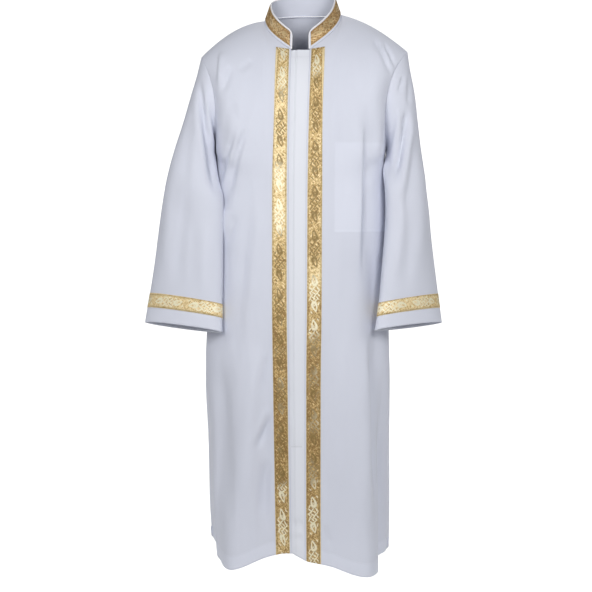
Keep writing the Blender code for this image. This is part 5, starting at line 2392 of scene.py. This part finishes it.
LAMPS = (
    Lamp("right", (-0.90, -2.20, 0.20), 0.8, 21.5),
    Lamp("left", (0.85, -2.25, 0.20), 0.8, 24.2),
    Lamp("far_right", (-2.1, -0.7, 0.1), 0.9, 7.5),
    Lamp("far_left", (2.1, -0.5, 0.1), 0.9, 7.5),
    Lamp("rear", (0.4, 2.0, 2.2), 1.6, 20.0),
)


@dataclass
class Studio:
    """A pale floor and backdrop, soft lights and the photograph's camera."""

    floor: float = -1.60
    front: float = -0.8
    back: float = 4.5
    half_width: float = 2.4
    top: float = 2.6
    sweep: float = 1.2
    lit: tuple[float, float, float] = (0.0, 0.0, -0.35)
    surroundings: float = 0.15
    camera_at: tuple[float, float, float] = (-0.0175, -3.7, -0.476)
    aimed_at: tuple[float, float, float] = (-0.0175, -0.1, -0.7035)
    lens: float = 87.57

    def build(self) -> None:
        """Make the stage, the lights and the camera."""
        self.build_backdrop()
        self.build_lights()
        self.build_camera()

    def build_backdrop(self) -> None:
        """Sweep a floor up into a backdrop, which glows: painted light, faint in front of the robe and bright
        behind it.
        """
        turns = np.linspace(0.0, math.pi / 2, 13)
        profile = [(self.front, self.floor)]
        profile += [
            (self.back + self.sweep * math.sin(a), self.floor + self.sweep * (1 - math.cos(a))) for a in turns
        ]
        profile.append((self.back + self.sweep, self.top))
        verts = [(x, y, z) for y, z in profile for x in (-self.half_width, self.half_width)]
        faces = [(2 * i, 2 * i + 1, 2 * i + 3, 2 * i + 2) for i in range(len(profile) - 1)]
        mesh = bpy.data.meshes.new("floor")
        mesh.from_pydata(verts, [], faces)
        floor = bpy.data.objects.new("floor", mesh)
        bpy.context.scene.collection.objects.link(floor)
        nodes = NodeSheet("floor_paper")
        tone = 0.97 + nodes.noise(nodes.place(), 3.0) * 0.02
        # How strongly the floor glows: painted light, faint in front of the robe and bright behind it.
        behind = nodes.parts(nodes.place())[1].rise(0.15, 0.45) * 0.88 + 0.12
        varied = {
            "Base Color": nodes.shade((0.95, 0.95, 0.95), tone),
            "Emission Color": nodes.shade((1.0, 1.0, 1.0), behind),
        }
        plain = {"Roughness": 0.9, "Emission Strength": 0.80}
        mesh.materials.append(nodes.finished(varied, plain))
        select_only(floor)
        bpy.ops.object.shade_smooth()

    def build_lights(self) -> None:
        """Hang soft lights in front, at either side and behind, and light the surroundings evenly."""
        world = bpy.data.worlds.new("studio")
        world.use_nodes = True
        background = world.node_tree.nodes["Background"]
        background.inputs["Color"].default_value = (0.96, 0.98, 1.0, 1.0)
        background.inputs["Strength"].default_value = self.surroundings
        bpy.context.scene.world = world
        for lamp in LAMPS:
            light = bpy.data.lights.new(lamp.name, "AREA")
            light.shape = "DISK"
            light.size = lamp.size
            light.energy = lamp.power
            self._aimed(bpy.data.objects.new(lamp.name, light), lamp.place, self.lit)

    @staticmethod
    def _aimed(
        thing: bpy.types.Object, place: tuple[float, float, float], target: tuple[float, float, float]
    ) -> None:
        """Put a light or the camera in its place and turn it.

        Args:
            thing: The light or camera.
            place: Where it stands.
            target: What it faces.
        """
        bpy.context.scene.collection.objects.link(thing)
        thing.location = place
        thing.rotation_euler = (Vector(target) - Vector(place)).to_track_quat("-Z", "Y").to_euler()

    def build_camera(self) -> None:
        """Set the camera where the photograph was taken from."""
        camera = bpy.data.cameras.new("camera")
        camera.sensor_width = 36.0
        camera.lens = self.lens
        thing = bpy.data.objects.new("camera", camera)
        self._aimed(thing, self.camera_at, self.aimed_at)
        bpy.context.scene.camera = thing
        bpy.context.scene.view_settings.view_transform = "Standard"


def main() -> None:
    """Dress the robe and set the scene."""
    logging.basicConfig(level=logging.INFO, format="%(message)s")
    hem = {"hem": HEM_DEPTH, "stitches": (StitchLine(HEM_STITCHES),)}
    pocket = LighterPlace(0.078, 0.212, -0.543, -0.322)
    fronts = {
        Wearer.RIGHT: FrontPanel(
            RIGHT,
            Cut(0.30, 1.40, 0.38),
            Cut(BRAID_WIDTH, 1.29, 0.047),
            LooseFolds(11, 46, -0.23, -0.06, -0.12, -1.30),
        ),
        Wearer.LEFT: FrontPanel(
            LEFT,
            Cut(0.32, 1.42, 0.40),
            Cut(BRAID_WIDTH, 1.30, 0.0474),
            LooseFolds(23, 46, 0.05, 0.21, -0.12, -1.30),
        ),
    }
    finishes = {
        Wearer.RIGHT: (
            WhiteCloth("white_cloth_right_front", **hem),
            GoldBraid("gold_braid_right_front", BRAID_WIDTH, 0.0626, 1.7, RIGHT_FRONT_LIGHT, mirrored=True),
        ),
        Wearer.LEFT: (
            WhiteCloth("white_cloth_left_front", lighter=pocket, **hem),
            GoldBraid("gold_braid_left_front", BRAID_WIDTH, 0.0972, 5.2, LEFT_FRONT_LIGHT),
        ),
    }
    for wearer, front in fronts.items():
        front.shape()
        front.build(*finishes[wearer])
    back = BackPanel(Cut(0.64, 1.44, 0.82), LooseFolds(37, 90, -0.21, 0.20, -0.10, -1.30))
    back.build(WhiteCloth("white_cloth_back", **hem))
    for side, loose, drawn_in, seed in (
        (RIGHT, LooseFolds(41, 16, -0.34, -0.24, -0.22, -0.72, 0.0005), 0.001, 2.9),
        (LEFT, LooseFolds(53, 16, 0.24, 0.32, -0.22, -0.72, 0.0005), 0.007, 8.1),
    ):
        name = side.wearer.value
        cuff_cut = Cut(CUFF_BRAID_WIDTH, 0.53, 0.0188)
        Sleeve(side, Cut(0.52, 0.69, 0.255), cuff_cut, loose, drawn_in).build(
            WhiteCloth(f"white_cloth_{name}_sleeve", **hem),
            GoldBraid(f"gold_braid_{name}_cuff", CUFF_BRAID_WIDTH, 0.02, seed, EVENLY_BRIGHT),
        )
    # Darker copies of the braid's colours: painted shade over the collar's braid, which also takes the
    # IN_SHADE table.
    gold_in_painted_shade = {
        "deep": (0.200, 0.110, 0.040),
        "mid": (0.450, 0.270, 0.105),
        "bright": (0.760, 0.540, 0.260),
        "pale": (0.860, 0.680, 0.400),
    }
    Collar(Cut(0.52, COLLAR_HEIGHT, 0.0228), Cut(0.50, BRAID_WIDTH, 0.0182)).build(
        fronts,
        back,
        WhiteCloth("white_cloth_collar"),
        GoldBraid("gold_braid_collar", BRAID_WIDTH, 0.0, 4.4, IN_SHADE, **gold_in_painted_shade),
        SatinPiping("satin_piping"),
    )
    placket = WhiteCloth(
        "placket_cloth",
        colour=(0.800, 0.818, 0.880),
        stitches=(StitchLine(0.0017, across=True), StitchLine(0.0235)),
        tack=BarTack(-0.0295, -0.0030, TACK_HEIGHT),
    )
    Placket(Cut(0.090, 1.29, 0.108)).build(fronts, placket)
    bag = WhiteCloth("pocket_cloth", colour=(0.80, 0.81, 0.85))
    PocketBag(Cut(0.146, 0.226, 0.033)).build(fronts[Wearer.LEFT], bag)
    Studio().build()


if __name__ == "__main__":
    main()
